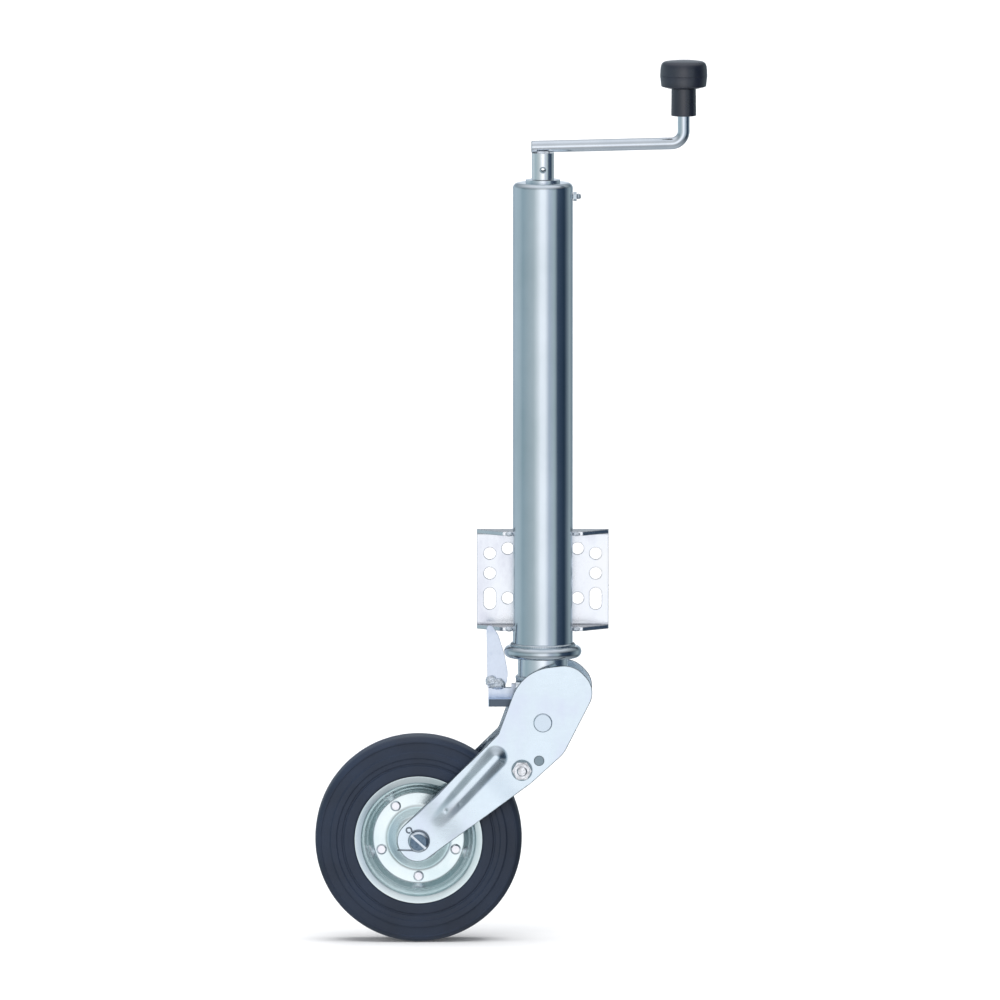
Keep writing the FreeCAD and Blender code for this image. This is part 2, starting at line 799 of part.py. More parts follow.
def knob_neck():
    made = body("knob_neck", x=crank_reach)
    bore = rod_radius + knob_fit
    outside = neck_diameter / 2
    corners = [(bore, neck_bottom), (outside, neck_bottom), (outside, neck_top), (bore, neck_top)]
    revolve(made, corners, [(1.2, [(outside, neck_bottom)])])


def knob_cap():
    """A barrel with a domed top, hollow inside, whose cone flares out from the neck's top."""
    made = body("knob_cap", x=crank_reach)
    outside = cap_diameter / 2
    hollow = clip_diameter / 2 + 2
    corners = [
        (hollow, neck_top),
        (neck_diameter / 2 + 0.6, neck_top),
        (outside - cap_wall, cap_skirt + 0.6),
        (outside - cap_wall, cap_skirt - 0.6),
        (outside - 1.9, cap_skirt - 0.6),
        (outside - 1.2, cap_skirt + 1.4),
        (outside, cap_skirt + cap_height * 0.24),
        (outside, cap_skirt + cap_height * 0.62),
        (outside - 1.6, cap_top - 2.6),
        (outside * 0.55, cap_top - 0.5),
        (0, cap_top),
        (0, cap_top - cap_wall),
        (hollow, cap_top - cap_wall - 2),
    ]
    rounds = [
        (3.4, [(outside - 1.6, cap_top - 2.6)]),
        (9, [(outside, cap_skirt + cap_height * 0.62)]),
        (6, [(outside, cap_skirt + cap_height * 0.24)]),
    ]
    revolve(made, corners, rounds)


knob_neck()
knob_cap()
clip_bottom = neck_top + side_gap
washer("knob_clip", rod_radius, clip_diameter / 2, clip_bottom, clip_bottom + clip_height, x=crank_reach)

# Stem: the inner tube with its nut at the top
stem_bore = stem_radius - stem_wall


def screw_nut():
    """A flanged nut set into the inner tube's top."""
    made = body("screw_nut")
    bore = screw_diameter / 2 + screw_fit
    corners = [
        (bore, stem_top - nut_length),
        (stem_bore, stem_top - nut_length),
        (stem_bore, stem_top),
        (stem_radius, stem_top),
        (stem_radius, stem_top + nut_flange),
        (bore, stem_top + nut_flange),
    ]
    revolve(made, corners)


washer("inner_tube", stem_bore, stem_radius, -stem_foot, stem_top)
screw_nut()
washer("slide_ring", stem_radius, bore_radius - slide_fit, stem_top - slide_ring_length, stem_top)
ring_weld("foot_weld", stem_radius, -stem_foot)

# Foot: a bridge of folded sheet under the inner tube, which carries the pivot and stops the fork
leg_out = foot_depth / 2
leg_in = leg_out - foot_sheet


def foot_bracket():
    """Its outline is in X and Z from the pivot; the lobe at its lower right is the fork's stop."""
    made = body("foot_bracket", z=pivot_z)
    top = pivot_drop
    low = -foot_lobe - 2
    section = [
        (-leg_out, low),
        (-leg_out, top),
        (leg_out, top),
        (leg_out, low),
        (leg_in, low),
        (leg_in, top - foot_web),
        (-leg_in, top - foot_web),
        (-leg_in, low),
    ]
    pad(made, outline(sketch(made, "YZ"), section), foot_width + 10, both=True)
    ends = [Vector(0, leg_out.value * side, top.value) for side in (-1, 1)]
    soften(made, "Fillet", foot_bend, ends)
    ends = [Vector(0, leg_in.value * side, (top - foot_web).value) for side in (-1, 1)]
    soften(made, "Fillet", foot_bend - foot_sheet, ends)
    half = foot_width / 2
    stop_face = stop_x + stop_pin_diameter / 2 + stop_gap
    clear = pivot_spacer_diameter / 2 + lobe_clearance
    leg = [
        (-half, top + 1),
        (half, top + 1),
        (half, -6),
        (lobe_right, -foot_lobe),
        (stop_face, -foot_lobe),
        (stop_face, -clear),
        (-13, -clear),
        (-half, -8),
    ]
    trim(made, leg, half + 20, top.value + 30)
    y = (leg_in.value + leg_out.value) / 2
    corners = [(half, -6, 10), (lobe_right, -foot_lobe, 3), (-13, -clear, 12), (-half, -8, 10)]
    for across, up, radius in corners:
        spots = [Vector(term(across).value, y * side, term(up).value) for side in (-1, 1)]
        soften(made, "Fillet", radius, spots)
    pocket(made, circle(sketch(made, "XZ"), 0, 0, pivot_diameter / 2), foot_depth * 2)


def trim(owner, corners, wide, high):
    """Cuts away everything outside an outline in X and Z."""
    drawing = sketch(owner, "XZ")
    wide = term(wide)
    high = term(high)
    outline(drawing, [(-wide, -high), (wide, -high), (wide, high), (-wide, high)])
    outline(drawing, corners)
    pocket(owner, drawing, cut_depth)


def pivot_rivet():
    made = body("pivot_rivet", z=pivot_z, turn=FACING)
    shank = pivot_diameter / 2
    head = pivot_head / 2
    under = cheek_out + side_gap
    end = under + pivot_head_height
    corners = [
        (0, -end),
        (head, -end),
        (head, -under),
        (shank, -under),
        (shank, under),
        (head, under),
        (head, end),
        (0, end),
    ]
    revolve(made, corners, [(1.2, [(head, end), (head, -end)])])


foot_bracket()
pivot_rivet()
washer("pivot_spacer", pivot_diameter / 2, pivot_spacer_diameter / 2, -leg_in, leg_in, z=pivot_z, turn=FACING)
for name, side in (("pivot_washer_near", 1), ("pivot_washer_far", -1)):
    faces = sorted([leg_out * side, (cheek_in - side_gap) * side], key=lambda face: face.value)
    washer(name, pivot_diameter / 2, pivot_spacer_diameter / 2, faces[0], faces[1], z=pivot_z, turn=FACING)


# Fork: two pressed cheeks, stepped outwards along the arm and stiffened by a rib
def plan(owner, corners, level):
    """An outline in the plane of the fork's arm, lifted towards the viewer to a level."""
    return outline(sketch(owner, "XZ", lift=-level), corners)


def fork_cheek(name, side):
    """In the fork's own frame: X along the arm from the pivot, Y at the viewer, Z across the arm."""
    made = body(name, z=pivot_z, turn=FORK_TURN)
    end = arm_length + end_radius
    step_stop = arm_length - step_end
    near_end = -80
    blank_length = end + end_radius
    blank_width = cut_depth / 2
    level = [
        (near_end, cheek_in),
        (step_start, cheek_in),
        (step_start + step_run, cheek_in + arm_step),
        (step_stop, cheek_in + arm_step),
        (step_stop + step_run, cheek_in),
        (arm_length + end_radius + 10, cheek_in),
    ]
    strip = level + [(along, out + cheek_sheet) for along, out in reversed(level)]
    strip = [(along, out * side) for along, out in strip]
    pad(made, outline(sketch(made, "XY"), strip), blank_width, both=True)
    bends = level[1:5] + [(along, out + cheek_sheet) for along, out in level[1:5]]
    spots = [Vector(term(along).value, side * out.value, 0) for along, out in bends]
    soften(made, "Fillet", step_round, spots)
    blade = [
        (40, arm_width_above + 0.4, 8),
        (-21.6, 52.5, 45),
        (-63, 20.9, 27),
        (-63, -12.8, 23),
        (6, -heel_depth, 30),
        (51, -heel_depth + 1, 40),
        (end, 4 - end_radius, end_radius - 2.4),
        (end, end_radius, end_radius - 0.4),
    ]
    trim(made, [corner[:2] for corner in blade], blank_length, blank_width)
    for along, across, radius in blade:
        spot = Vector(term(along).value, side * (cheek_in.value + cheek_sheet.value / 2), term(across).value)
        soften(made, "Fillet", radius, [spot])
    cheek_rib(made, side)
    holes = sketch(made, "XZ")
    circle(holes, 0, 0, pivot_diameter / 2 + pivot_fit)
    circle(holes, stop_pin_along, -stop_pin_below, stop_pin_diameter / 2)
    circle(holes, latch_bolt_along, -latch_bolt_below, latch_bolt_diameter / 2)
    circle(holes, arm_length, 0, axle_diameter / 2)
    pocket(made, holes, cut_depth)


def cheek_rib(made, side):
    """Presses the rib out of the sheet: a round-ended ridge that fades down the arm, hollow inside."""
    rib_stop = arm_length - rib_end
    upper = rib_offset + rib_lean
    crest = cheek_out + arm_step + rib_height
    base = cheek_out - 1
    foot = rib_width / 2 + 2
    ridge = sketch(made, "XZ", lift=-(base * side))
    slot(ridge, (rib_start + foot, upper), (rib_stop, rib_offset), foot)
    extrude(made, "Pad", ridge, crest - base, backwards=side > 0, taper=-rib_slope)
    fade = [
        (rib_stop - rib_fade, crest),
        (rib_stop + 2, cheek_out + 0.6),
        (rib_stop + foot * 2, cheek_out - 1),
        (rib_stop + foot * 2, crest + 2),
        (rib_stop - rib_fade, crest + 2),
    ]
    drawing = outline(sketch(made, "XY"), [(along, out * side) for along, out in fade])
    extrude(made, "Pocket", drawing, rib_width * 4, both=True)
    inset = (crest.value - base.value) * math.tan(math.radians(rib_slope.value))
    middle = rib_start.value * 0.6 + rib_stop.value * 0.4
    down = (middle - (rib_start + foot).value) / (rib_stop - rib_start - foot).value
    level = upper.value - rib_lean.value * down
    crests = [Vector(middle, side * crest.value, level + (foot.value - inset) * way) for way in (-1, 1)]
    soften(made, "Fillet", rib_round, crests)
    inner = rib_width / 2 - 1
    hollow = sketch(made, "XZ", lift=-((cheek_in - 1) * side))
    slot(hollow, (rib_start + foot, upper), (rib_stop - rib_fade, rib_offset), inner)
    pressed = crest - cheek_sheet - cheek_in + 1
    extrude(made, "Pocket", hollow, pressed, backwards=side < 0, taper=-rib_slope)


fork_cheek("fork_cheek_near", 1)
fork_cheek("fork_cheek_far", -1)
washer("stop_pin", 0, stop_pin_diameter / 2, -cheek_out, cheek_out, x=stop_x, z=stop_z, turn=FACING)

# Latch bolt: it ties the cheeks and carries the latch
bolt_place = {"x": latch_x, "z": latch_z, "turn": FACING}
bolt_radius = latch_bolt_diameter / 2
nut_face = cheek_out + latch_washer_height


def latch_bolt():
    made = body("latch_bolt", **bolt_place)
    tip = nut_face + latch_nut_height + latch_bolt_end
    corners = [(0, -cheek_out), (bolt_radius, -cheek_out), (bolt_radius, tip), (0, tip)]
    revolve(made, corners)
    soften(made, "Chamfer", 1, [Vector(0, bolt_radius.value, tip.value)])
    head = outline(sketch(made, "XY", lift=-cheek_out), hexagon(latch_bolt_flats))
    pad(made, head, latch_bolt_head, backwards=True)


def latch_nut():
    """A lock nut: a hexagon with a round collar on top."""
    made = body("latch_nut", **bolt_place)
    drawing = outline(sketch(made, "XY", lift=nut_face), hexagon(latch_bolt_flats))
    pad(made, drawing, latch_nut_height * 0.72)
    collar = circle(sketch(made, "XY", lift=nut_face), 0, 0, latch_bolt_flats / 2 - 0.8)
    pad(made, collar, latch_nut_height)
    bore = circle(sketch(made, "XY", lift=nut_face), 0, 0, bolt_radius)
    pocket(made, bore, latch_nut_height * 4)


latch_bolt()
latch_nut()
washer("latch_washer", bolt_radius, latch_washer_diameter / 2, cheek_out, nut_face, **bolt_place)
washer("latch_spacer", bolt_radius, spacer_diameter / 2, -cheek_in, cheek_in, **bolt_place)

# Latch: a strut from the bolt up to the foot's left edge, with side blocks and the release fin
foot_under = -stem_foot - foot_web
head_top = foot_under - latch_head_play
head_right = -(foot_width / 2) + latch_head_overlap
block_low = -stem_foot - block_bottom
strut_top = block_low + block_height + block_rise


def latch_strut():
    made = body("latch_strut")
    hub = latch_hub / 2
    profile = [
        (latch_x - hub + 1, latch_z + 2),
        (latch_x + hub - 1, latch_z + 2),
        (-20, latch_z + 30),
        (head_right, block_low - 4),
        (head_right, head_top),
        (head_right - 6, head_top),
        (head_right - 6, strut_top),
        (-block_left, strut_top),
        (-block_left, block_low),
        (-block_left + 20, block_low),
    ]
    pad(made, outline(sketch(made, "XZ"), profile), latch_sheet, both=True)
    pad(made, circle(sketch(made, "XZ"), latch_x, latch_z, hub), latch_sheet, both=True)
    bore = spacer_diameter / 2 + pivot_fit
    pocket(made, circle(sketch(made, "XZ"), latch_x, latch_z, bore), latch_sheet * 3)


def latch_blocks():
    """A bar each side of the strut, on which the latch bears between the foot's legs."""
    for name, side in (("latch_block_near", -1), ("latch_block_far", 1)):
        block = body(name)
        front = latch_sheet / 2
        back = block_width / 2
        drawing = sketch(block, "XY", lift=block_low)
        left, right = -block_left, -block_right
        corners = [(left, front * side), (right, front * side), (right, back * side), (left, back * side)]
        pad(block, outline(drawing, corners), block_height)
        spots = [Vector(left.value, back.value * side, (block_low + block_height / 2).value)]
        soften(block, "Fillet", 2, spots)


def release_fin():
    """The upright blade that the collar pushes aside when the stem is wound right in."""
    made = body("release_fin")
    top = strut_top + fin_height
    edge = [(5.9, 0, 3), (12.2, 10.5, 14), (18.2, 30, 40), (21.5, 48, 16), (20.6, 56, 5)]
    profile = [
        (-fin_left + 1, strut_top),
        (-fin_left, top),
    ]
    profile += [(inset - fin_left, top - drop) for inset, drop, radius in edge]
    profile.append((-fin_foot, strut_top))
    pad(made, outline(sketch(made, "XZ"), profile), fin_sheet, both=True)
    soften(made, "Fillet", 3.2, [Vector(-fin_left.value, 0, top.value)])
    for inset, drop, radius in edge:
        soften(made, "Fillet", radius, [Vector(inset - fin_left.value, 0, top.value - drop)])


def fin_welds():
    """A bead along each side of the fin's foot."""
    beads = []
    length = fin_weld_length.value
    radius = latch_sheet.value / 2 - fin_sheet.value / 2
    for side in (-1, 1):
        start = Vector(-fin_left.value + 1.5, column_y.value + side * fin_sheet.value / 2, strut_top.value)
        bead = Part.makeCylinder(radius, length, start, Vector(1, 0, 0))
        quarter = Part.makeBox(length, radius, radius)
        quarter.translate(start - Vector(0, radius if side < 0 else 0, 0))
        beads.append(bead.common(quarter))
    loose("fin_welds", Part.makeCompound(beads))


def latch_spring():
    """Rings round the spacer: the first has two legs, one hooked on the strut, one under the stop pin."""
    wire = spring_wire.value / 2
    reach = spacer_diameter.value / 2 + wire + 0.6
    leg = spring_leg.value
    begin = spring_start.value
    finish = begin + spring_sweep.value

    def spot(degrees):
        angle = math.radians(degrees)
        return Vector(math.cos(angle), math.sin(angle), 0)

    first = spot(begin) * reach - spot(begin + 90) * leg
    last = spot(finish) * reach + spot(finish + 90) * leg
    middle = spot((begin + finish) / 2) * reach
    hook_end = first - Vector(0, 0, spring_hook.value)
    path = Part.Wire([
        Part.makeLine(first, spot(begin) * reach),
        Part.Arc(spot(begin) * reach, middle, spot(finish) * reach).toShape(),
        Part.makeLine(spot(finish) * reach, last),
    ])
    ring = Part.Wire(Part.makeCircle(wire, first, spot(begin + 90)))
    coil = path.makePipeShell([ring], True, False)
    hook = Part.makeCylinder(wire, spring_hook.value, hook_end)
    coil = coil.fuse([hook, Part.makeSphere(wire, first)])
    turns = [coil]
    for turn in range(1, int(spring_turns.value)):
        turns.append(Part.makeTorus(reach, wire, Vector(0, 0, turn * spring_pitch.value)))
    start = Vector(latch_x.value, column_y.value - latch_sheet.value / 2 - wire - 0.4, latch_z.value)
    loose("latch_spring", Part.makeCompound(turns), Placement(start, FACING))


latch_strut()
latch_blocks()
release_fin()
fin_welds()
latch_spring()

# Wheel: a rubber tyre on two pressed rim halves, riveted together and set on a hub tube
wheel_place = {"x": axle_x, "z": axle_z, "turn": FACING}
half_tyre = tyre_width / 2
hub_radius = hub_diameter / 2
lip = rim_diameter / 2


def rim_half(name, side):
    made = body(name, **wheel_place)
    sheet_deep = rim_sheet
    wall_top = half_tyre - 4.5
    boss = hub_radius + 6
    visible = [
        (hub_radius, sheet_deep + 9),
        (boss, sheet_deep + 9),
        (rim_boss, sheet_deep),
        (rim_disc, sheet_deep),
        (rim_disc + 8.4, wall_top),
        (rim_disc + 10.6, half_tyre),
        (lip, half_tyre),
    ]
    behind = [
        (lip, half_tyre - sheet_deep),
        (rim_disc + 12.5, half_tyre - sheet_deep),
        (rim_disc + 11, wall_top - 1),
        (rim_disc + 2, 0),
        (rim_boss - 1.2, 0),
        (boss - 1.2, 9),
        (hub_radius, 9),
    ]
    corners = [(radius, height * side) for radius, height in visible + behind]
    rounds = [
        (3, [(rim_disc, sheet_deep * side)]),
        (1.6, [(rim_disc + 10.6, half_tyre * side)]),
        (1.2, [(lip, half_tyre * side)]),
        (3, [(boss, (sheet_deep + 9) * side)]),
    ]
    revolve(made, corners, rounds)
    holes = sketch(made, "XY")
    for index in range(int(rivet_count.value)):
        angle = rivet_turn + term(index * whole_turn) / rivet_count
        circle(holes, rivet_circle / 2 * cosine(angle), rivet_circle / 2 * sine(angle), rivet_shank / 2)
    pocket(made, holes, tyre_width)


def tyre():
    """A solid tyre: its section is wedged between the rim halves, with raised rings on its sides."""
    made = body("tyre", **wheel_place)
    tread = tyre_diameter / 2
    side_face = half_tyre
    gap = 0.2
    half = [
        (rim_disc + 3.4, 2.4),
        (rim_disc + 11.3, half_tyre - 5.4),
        (rim_disc + 12.9, half_tyre - rim_sheet - gap),
        (lip + gap, half_tyre - rim_sheet - gap),
        (lip + gap, side_face - 0.8),
        (tread * 0.735, side_face - 0.4),
        (tread * 0.745, side_face - 1.2),
        (tread * 0.8, side_face - 1.2),
        (tread * 0.81, side_face),
        (tread * 0.85, side_face),
        (tread * 0.86, side_face - 1.2),
        (tread * 0.945, side_face - 2.2),
        (tread * 0.955, side_face - 1.4),
        (tread * 0.975, side_face - 3),
        (tread - 0.4, side_face - 11),
        (tread, side_face - 16),
    ]
    corners = half + [(radius, -height) for radius, height in reversed(half)]
    revolve(made, corners)


def rim_rivets():
    """Five rivets with flat domed heads, clamping the rim halves."""
    rivets = []
    head = rivet_head.value / 2
    shank = rivet_shank.value / 2
    under = rim_sheet.value
    top = under + rivet_height.value
    outer = head - rivet_height.value * 0.8
    edge = under + 0.5
    for index in range(int(rivet_count.value)):
        angle = 2 * math.pi * index / rivet_count.value + math.radians(rivet_turn.value)
        rivet = None
        for side in (-1, 1):
            corners = [(0, 0), (shank, 0), (shank, under), (head, under), (head, edge), (outer, top)]
            corners += [(0, top), (0, 0)]
            path = [Vector(reach, 0, height * side) for reach, height in corners]
            half = Part.Face(Part.makePolygon(path)).revolve(Vector(0, 0, 0), Vector(0, 0, 1), whole_turn)
            rivet = half if rivet is None else rivet.fuse(half)
        reach = rivet_circle.value / 2
        rivet = rivet.removeSplitter()
        rivet.translate(Vector(reach * math.cos(angle), reach * math.sin(angle), 0))
        rivets.append(rivet)
    centre = Vector(axle_x.value, column_y.value, axle_z.value)
    loose("rim_rivets", Part.makeCompound(rivets), Placement(centre, FACING))


def hub_bush(name, side):
    """A flanged bush in the hub's end, which runs on the axle."""
    made = body(name, **wheel_place)
    bore = axle_diameter / 2 + axle_fit
    face = hub_length / 2
    inside = hub_radius - hub_wall
    corners = [
        (bore, face - hub_bush_length),
        (inside, face - hub_bush_length),
        (inside, face),
        (hub_radius + 1, face),
        (hub_radius + 1, face + hub_bush_flange),
        (bore, face + hub_bush_flange),
    ]
    revolve(made, [(radius, height * side) for radius, height in corners])


def axle():
    """A plain axle with a slotted, chamfered end each side."""
    made = body("axle", **wheel_place)
    radius = axle_diameter / 2
    end = cheek_out + axle_end
    revolve(made, [(0, -end), (radius, -end), (radius, end), (0, end)])
    rims = [Vector(0, radius.value, end.value * side) for side in (-1, 1)]
    soften(made, "Chamfer", axle_chamfer, rims)
    slot = axle_slot / 2
    slope = axle_slot_turn
    reach = radius + 2
    directions = [(reach, slot), (reach, -slot), (-reach, -slot), (-reach, slot)]
    corners = []
    for along, across in directions:
        x = along * cosine(slope) + across * sine(slope)
        y = across * cosine(slope) - along * sine(slope)
        corners.append((x, y))
    drawing = outline(sketch(made, "XY", lift=end), corners)
    pocket(made, drawing, axle_slot_depth, both=False)


def axle_clip(name, side):
    """A sprung wire clip round the axle's end: an eye, most of a turn and a straight tail."""
    wire = clip_wire.value / 2
    reach = axle_diameter.value / 2 + wire + 0.05
    eye = clip_eye.value
    ring = Part.makeTorus(reach, wire, Vector(0, 0, 0), Vector(0, 0, 1), -180, 180, 275)
    ring.rotate(Vector(0, 0, 0), Vector(0, 0, 1), -135)
    start = math.radians(140)
    centre = Vector((reach + eye) * math.cos(start), (reach + eye) * math.sin(start), 0)
    loop = Part.makeTorus(eye, wire, centre)
    foot = Vector(reach * math.cos(math.radians(-135)), reach * math.sin(math.radians(-135)), 0)
    tail = Part.makeCylinder(wire, clip_tail.value, foot, Vector(-0.8, -0.05, 0))
    shape = ring.fuse([loop, tail])
    level = cheek_out.value + wire + 0.3
    place = Placement(Vector(axle_x.value, column_y.value - side * level, axle_z.value), FACING)
    loose(name, shape, place)


tyre()
rim_half("rim_half_near", 1)
rim_half("rim_half_far", -1)
rim_rivets()
washer("hub_tube", hub_radius - hub_wall, hub_radius, -hub_length / 2, hub_length / 2, **wheel_place)
hub_bush("hub_bush_near", 1)
hub_bush("hub_bush_far", -1)
axle()
axle_clip("axle_clip_near", 1)
axle_clip("axle_clip_far", -1)

# Checks and export
doc.recompute()
pieces = [one for one in doc.Objects if one.TypeId in ("PartDesign::Body", "Part::Feature")]
for one in doc.Objects:
    if "Invalid" in one.State or "Error" in one.State:
        raise RuntimeError("%s failed: %s" % (one.Name, one.State))
for one in pieces:
    if one.Shape.isNull() or not one.Shape.isValid() or not one.Shape.Solids:
        raise RuntimeError(one.Label + " has no valid solid")

os.makedirs("parts", exist_ok=True)
for one in pieces:
    one.Shape.exportStep("parts/%s.step" % one.Label)
print("%d nodes, %d solids" % (len(pieces), sum(len(one.Shape.Solids) for one in pieces)))
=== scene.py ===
import json
import math

import bmesh
import bpy
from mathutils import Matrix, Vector
from mathutils.geometry import delaunay_2d_cdt


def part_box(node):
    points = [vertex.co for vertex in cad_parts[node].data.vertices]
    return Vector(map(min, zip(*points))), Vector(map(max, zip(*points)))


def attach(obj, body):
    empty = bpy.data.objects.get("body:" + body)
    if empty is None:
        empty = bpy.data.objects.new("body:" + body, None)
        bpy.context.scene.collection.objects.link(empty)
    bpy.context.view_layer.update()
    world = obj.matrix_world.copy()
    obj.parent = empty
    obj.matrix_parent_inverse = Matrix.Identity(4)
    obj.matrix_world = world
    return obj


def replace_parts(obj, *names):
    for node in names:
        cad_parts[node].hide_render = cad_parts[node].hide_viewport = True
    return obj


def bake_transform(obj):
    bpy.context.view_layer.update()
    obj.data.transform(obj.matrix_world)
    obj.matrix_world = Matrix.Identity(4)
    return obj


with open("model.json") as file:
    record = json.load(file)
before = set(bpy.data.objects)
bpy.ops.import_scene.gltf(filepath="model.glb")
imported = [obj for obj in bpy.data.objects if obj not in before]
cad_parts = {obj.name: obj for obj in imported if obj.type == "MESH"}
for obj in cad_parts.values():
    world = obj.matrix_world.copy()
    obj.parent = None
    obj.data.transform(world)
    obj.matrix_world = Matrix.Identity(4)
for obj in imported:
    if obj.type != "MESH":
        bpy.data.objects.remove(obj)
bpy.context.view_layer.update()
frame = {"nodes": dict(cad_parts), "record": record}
nodes = frame["nodes"]
AXIS_Y = -0.034

# Camera: the photograph's view, from six degrees above and far away, one pixel to a millimetre
aim = Vector((-0.0428, AXIS_Y, 0.082))
elevation = math.radians(6)
distance = 20
back = Vector((0, -math.cos(elevation), math.sin(elevation)))
camera = bpy.data.objects.new("camera", bpy.data.cameras.new("camera"))
bpy.context.scene.collection.objects.link(camera)
camera.location = aim + back * distance
camera.rotation_mode = "QUATERNION"
camera.rotation_quaternion = (-back).to_track_quat("-Z", "Y")
sensor = 36
camera.data.sensor_width = sensor
camera.data.lens = sensor * distance
camera.data.clip_end = 200
bpy.context.scene.camera = camera


# Materials; lengths are in metres
CORNER = 0.0004
SPECK_DEPTH = 0.000006


def shader(name, colour, metallic=0.0, roughness=0.5, **sockets):
    """A new principled material with its node tree, ready for textures."""
    made = bpy.data.materials.new(name)
    made.use_nodes = True
    tree = made.node_tree
    bsdf = tree.nodes["Principled BSDF"]
    bsdf.inputs["Base Color"].default_value = (*colour, 1)
    bsdf.inputs["Metallic"].default_value = metallic
    bsdf.inputs["Roughness"].default_value = roughness
    for socket, value in sockets.items():
        bsdf.inputs[socket.replace("_", " ")].default_value = value
    return made, tree, bsdf


def texture(tree, kind, stretch=(1, 1, 1), turn=(0, 0, 0), **values):
    """A procedural texture in the row's own coordinates, in metres, with a stretch and a turn."""
    where = tree.nodes.new("ShaderNodeTexCoord")
    mapping = tree.nodes.new("ShaderNodeMapping")
    mapping.inputs["Scale"].default_value = stretch
    mapping.inputs["Rotation"].default_value = turn
    tree.links.new(where.outputs["Object"], mapping.inputs["Vector"])
    made = tree.nodes.new(kind)
    for socket, value in values.items():
        made.inputs[socket.replace("_", " ")].default_value = value
    tree.links.new(mapping.outputs["Vector"], made.inputs["Vector"])
    return made


def spread(tree, source, low, high, start=0.0, end=1.0):
    """Maps a texture's grey onto a range of values."""
    made = tree.nodes.new("ShaderNodeMapRange")
    made.inputs["From Min"].default_value = start
    made.inputs["From Max"].default_value = end
    made.inputs["To Min"].default_value = low
    made.inputs["To Max"].default_value = high
    tree.links.new(source, made.inputs["Value"])
    return made.outputs["Result"]


def ramp(tree, source, stops):
    """Maps a texture's grey onto a row of colours."""
    made = tree.nodes.new("ShaderNodeValToRGB")
    points = made.color_ramp.elements
    while len(points) < len(stops):
        points.new(0.5)
    for point, (place, colour) in zip(points, stops):
        point.position = place
        point.color = (*colour, 1)
    tree.links.new(source, made.inputs["Fac"])
    return made.outputs["Color"]


def bump(tree, bsdf, heights, corner=CORNER):
    """Softens sharp edges, then adds bumps in turn: each is a grey output and its depth in metres."""
    edge = tree.nodes.new("ShaderNodeBevel")
    edge.samples = 4
    edge.inputs["Radius"].default_value = corner
    last = edge.outputs["Normal"]
    for source, depth in heights:
        made = tree.nodes.new("ShaderNodeBump")
        made.inputs["Distance"].default_value = depth
        made.inputs["Strength"].default_value = 1.0
        tree.links.new(source, made.inputs["Height"])
        tree.links.new(last, made.inputs["Normal"])
        last = made.outputs["Normal"]
    tree.links.new(last, bsdf.inputs["Normal"])


def mix_colours(tree, share, first, second):
    """The first colour where the share is nought, and a fixed second one where it is one."""
    made = tree.nodes.new("ShaderNodeMix")
    made.data_type = "RGBA"
    tree.links.new(share, made.inputs["Factor"])
    tree.links.new(first, made.inputs["A"])
    made.inputs["B"].default_value = (*second, 1)
    return made.outputs["Result"]


def multiply_colours(tree, first, second):
    """One colour darkened by another."""
    made = tree.nodes.new("ShaderNodeMix")
    made.data_type = "RGBA"
    made.blend_type = "MULTIPLY"
    made.inputs["Factor"].default_value = 1
    tree.links.new(first, made.inputs["A"])
    tree.links.new(second, made.inputs["B"])
    return made.outputs["Result"]


def paint_shade_by_facing(tree, colour, stops):
    """Painted shade: darkens a colour by how squarely a surface lies across Y, from nought on edges to one on
    faces.
    """
    normal = tree.nodes.new("ShaderNodeNewGeometry")
    split = tree.nodes.new("ShaderNodeSeparateXYZ")
    tree.links.new(normal.outputs["True Normal"], split.inputs["Vector"])
    facing = tree.nodes.new("ShaderNodeMath")
    facing.operation = "ABSOLUTE"
    tree.links.new(split.outputs["Y"], facing.inputs[0])
    shades = [(place, (grey, grey, grey * 1.05)) for place, grey in stops]
    return multiply_colours(tree, colour, ramp(tree, facing.outputs["Value"], shades))


def zinc(
    name, light, dark, rough=(0.16, 0.34), stretch=(40, 40, 40), turn=(0, 0, 0),
    grain=0.00002, facing=(), patches=14, corner=CORNER,
):
    """Bright zinc plate: cloudy tint, dull and bright patches, marks and specks, and painted shade by facing.
    """
    made, tree, bsdf = shader(name, light, metallic=1.0, roughness=0.25)
    cloud = texture(tree, "ShaderNodeTexNoise", (1, 1, 0.6), Scale=patches, Detail=4, Roughness=0.55)
    brightest = tuple(min(1, c * 1.1) for c in light)
    colour = ramp(tree, cloud.outputs["Fac"], [(0.3, dark), (0.5, light), (0.72, brightest)])
    # Painted shade: where facing stops are given, surfaces turned away from Y are darkened
    if facing:
        colour = paint_shade_by_facing(tree, colour, facing)
    tree.links.new(colour, bsdf.inputs["Base Color"])
    marks = texture(tree, "ShaderNodeTexNoise", stretch, turn, Scale=8, Detail=6, Roughness=0.65)
    specks = texture(tree, "ShaderNodeTexNoise", Scale=900, Detail=2)
    both = tree.nodes.new("ShaderNodeMath")
    both.operation = "MULTIPLY_ADD"
    both.inputs[1].default_value = 0.5
    tree.links.new(marks.outputs["Fac"], both.inputs[0])
    tree.links.new(spread(tree, cloud.outputs["Fac"], 0, 0.5, 0.3, 0.7), both.inputs[2])
    tree.links.new(spread(tree, both.outputs["Value"], *rough), bsdf.inputs["Roughness"])
    bump(tree, bsdf, [(marks.outputs["Fac"], grain), (specks.outputs["Fac"], SPECK_DEPTH)], corner)
    return made


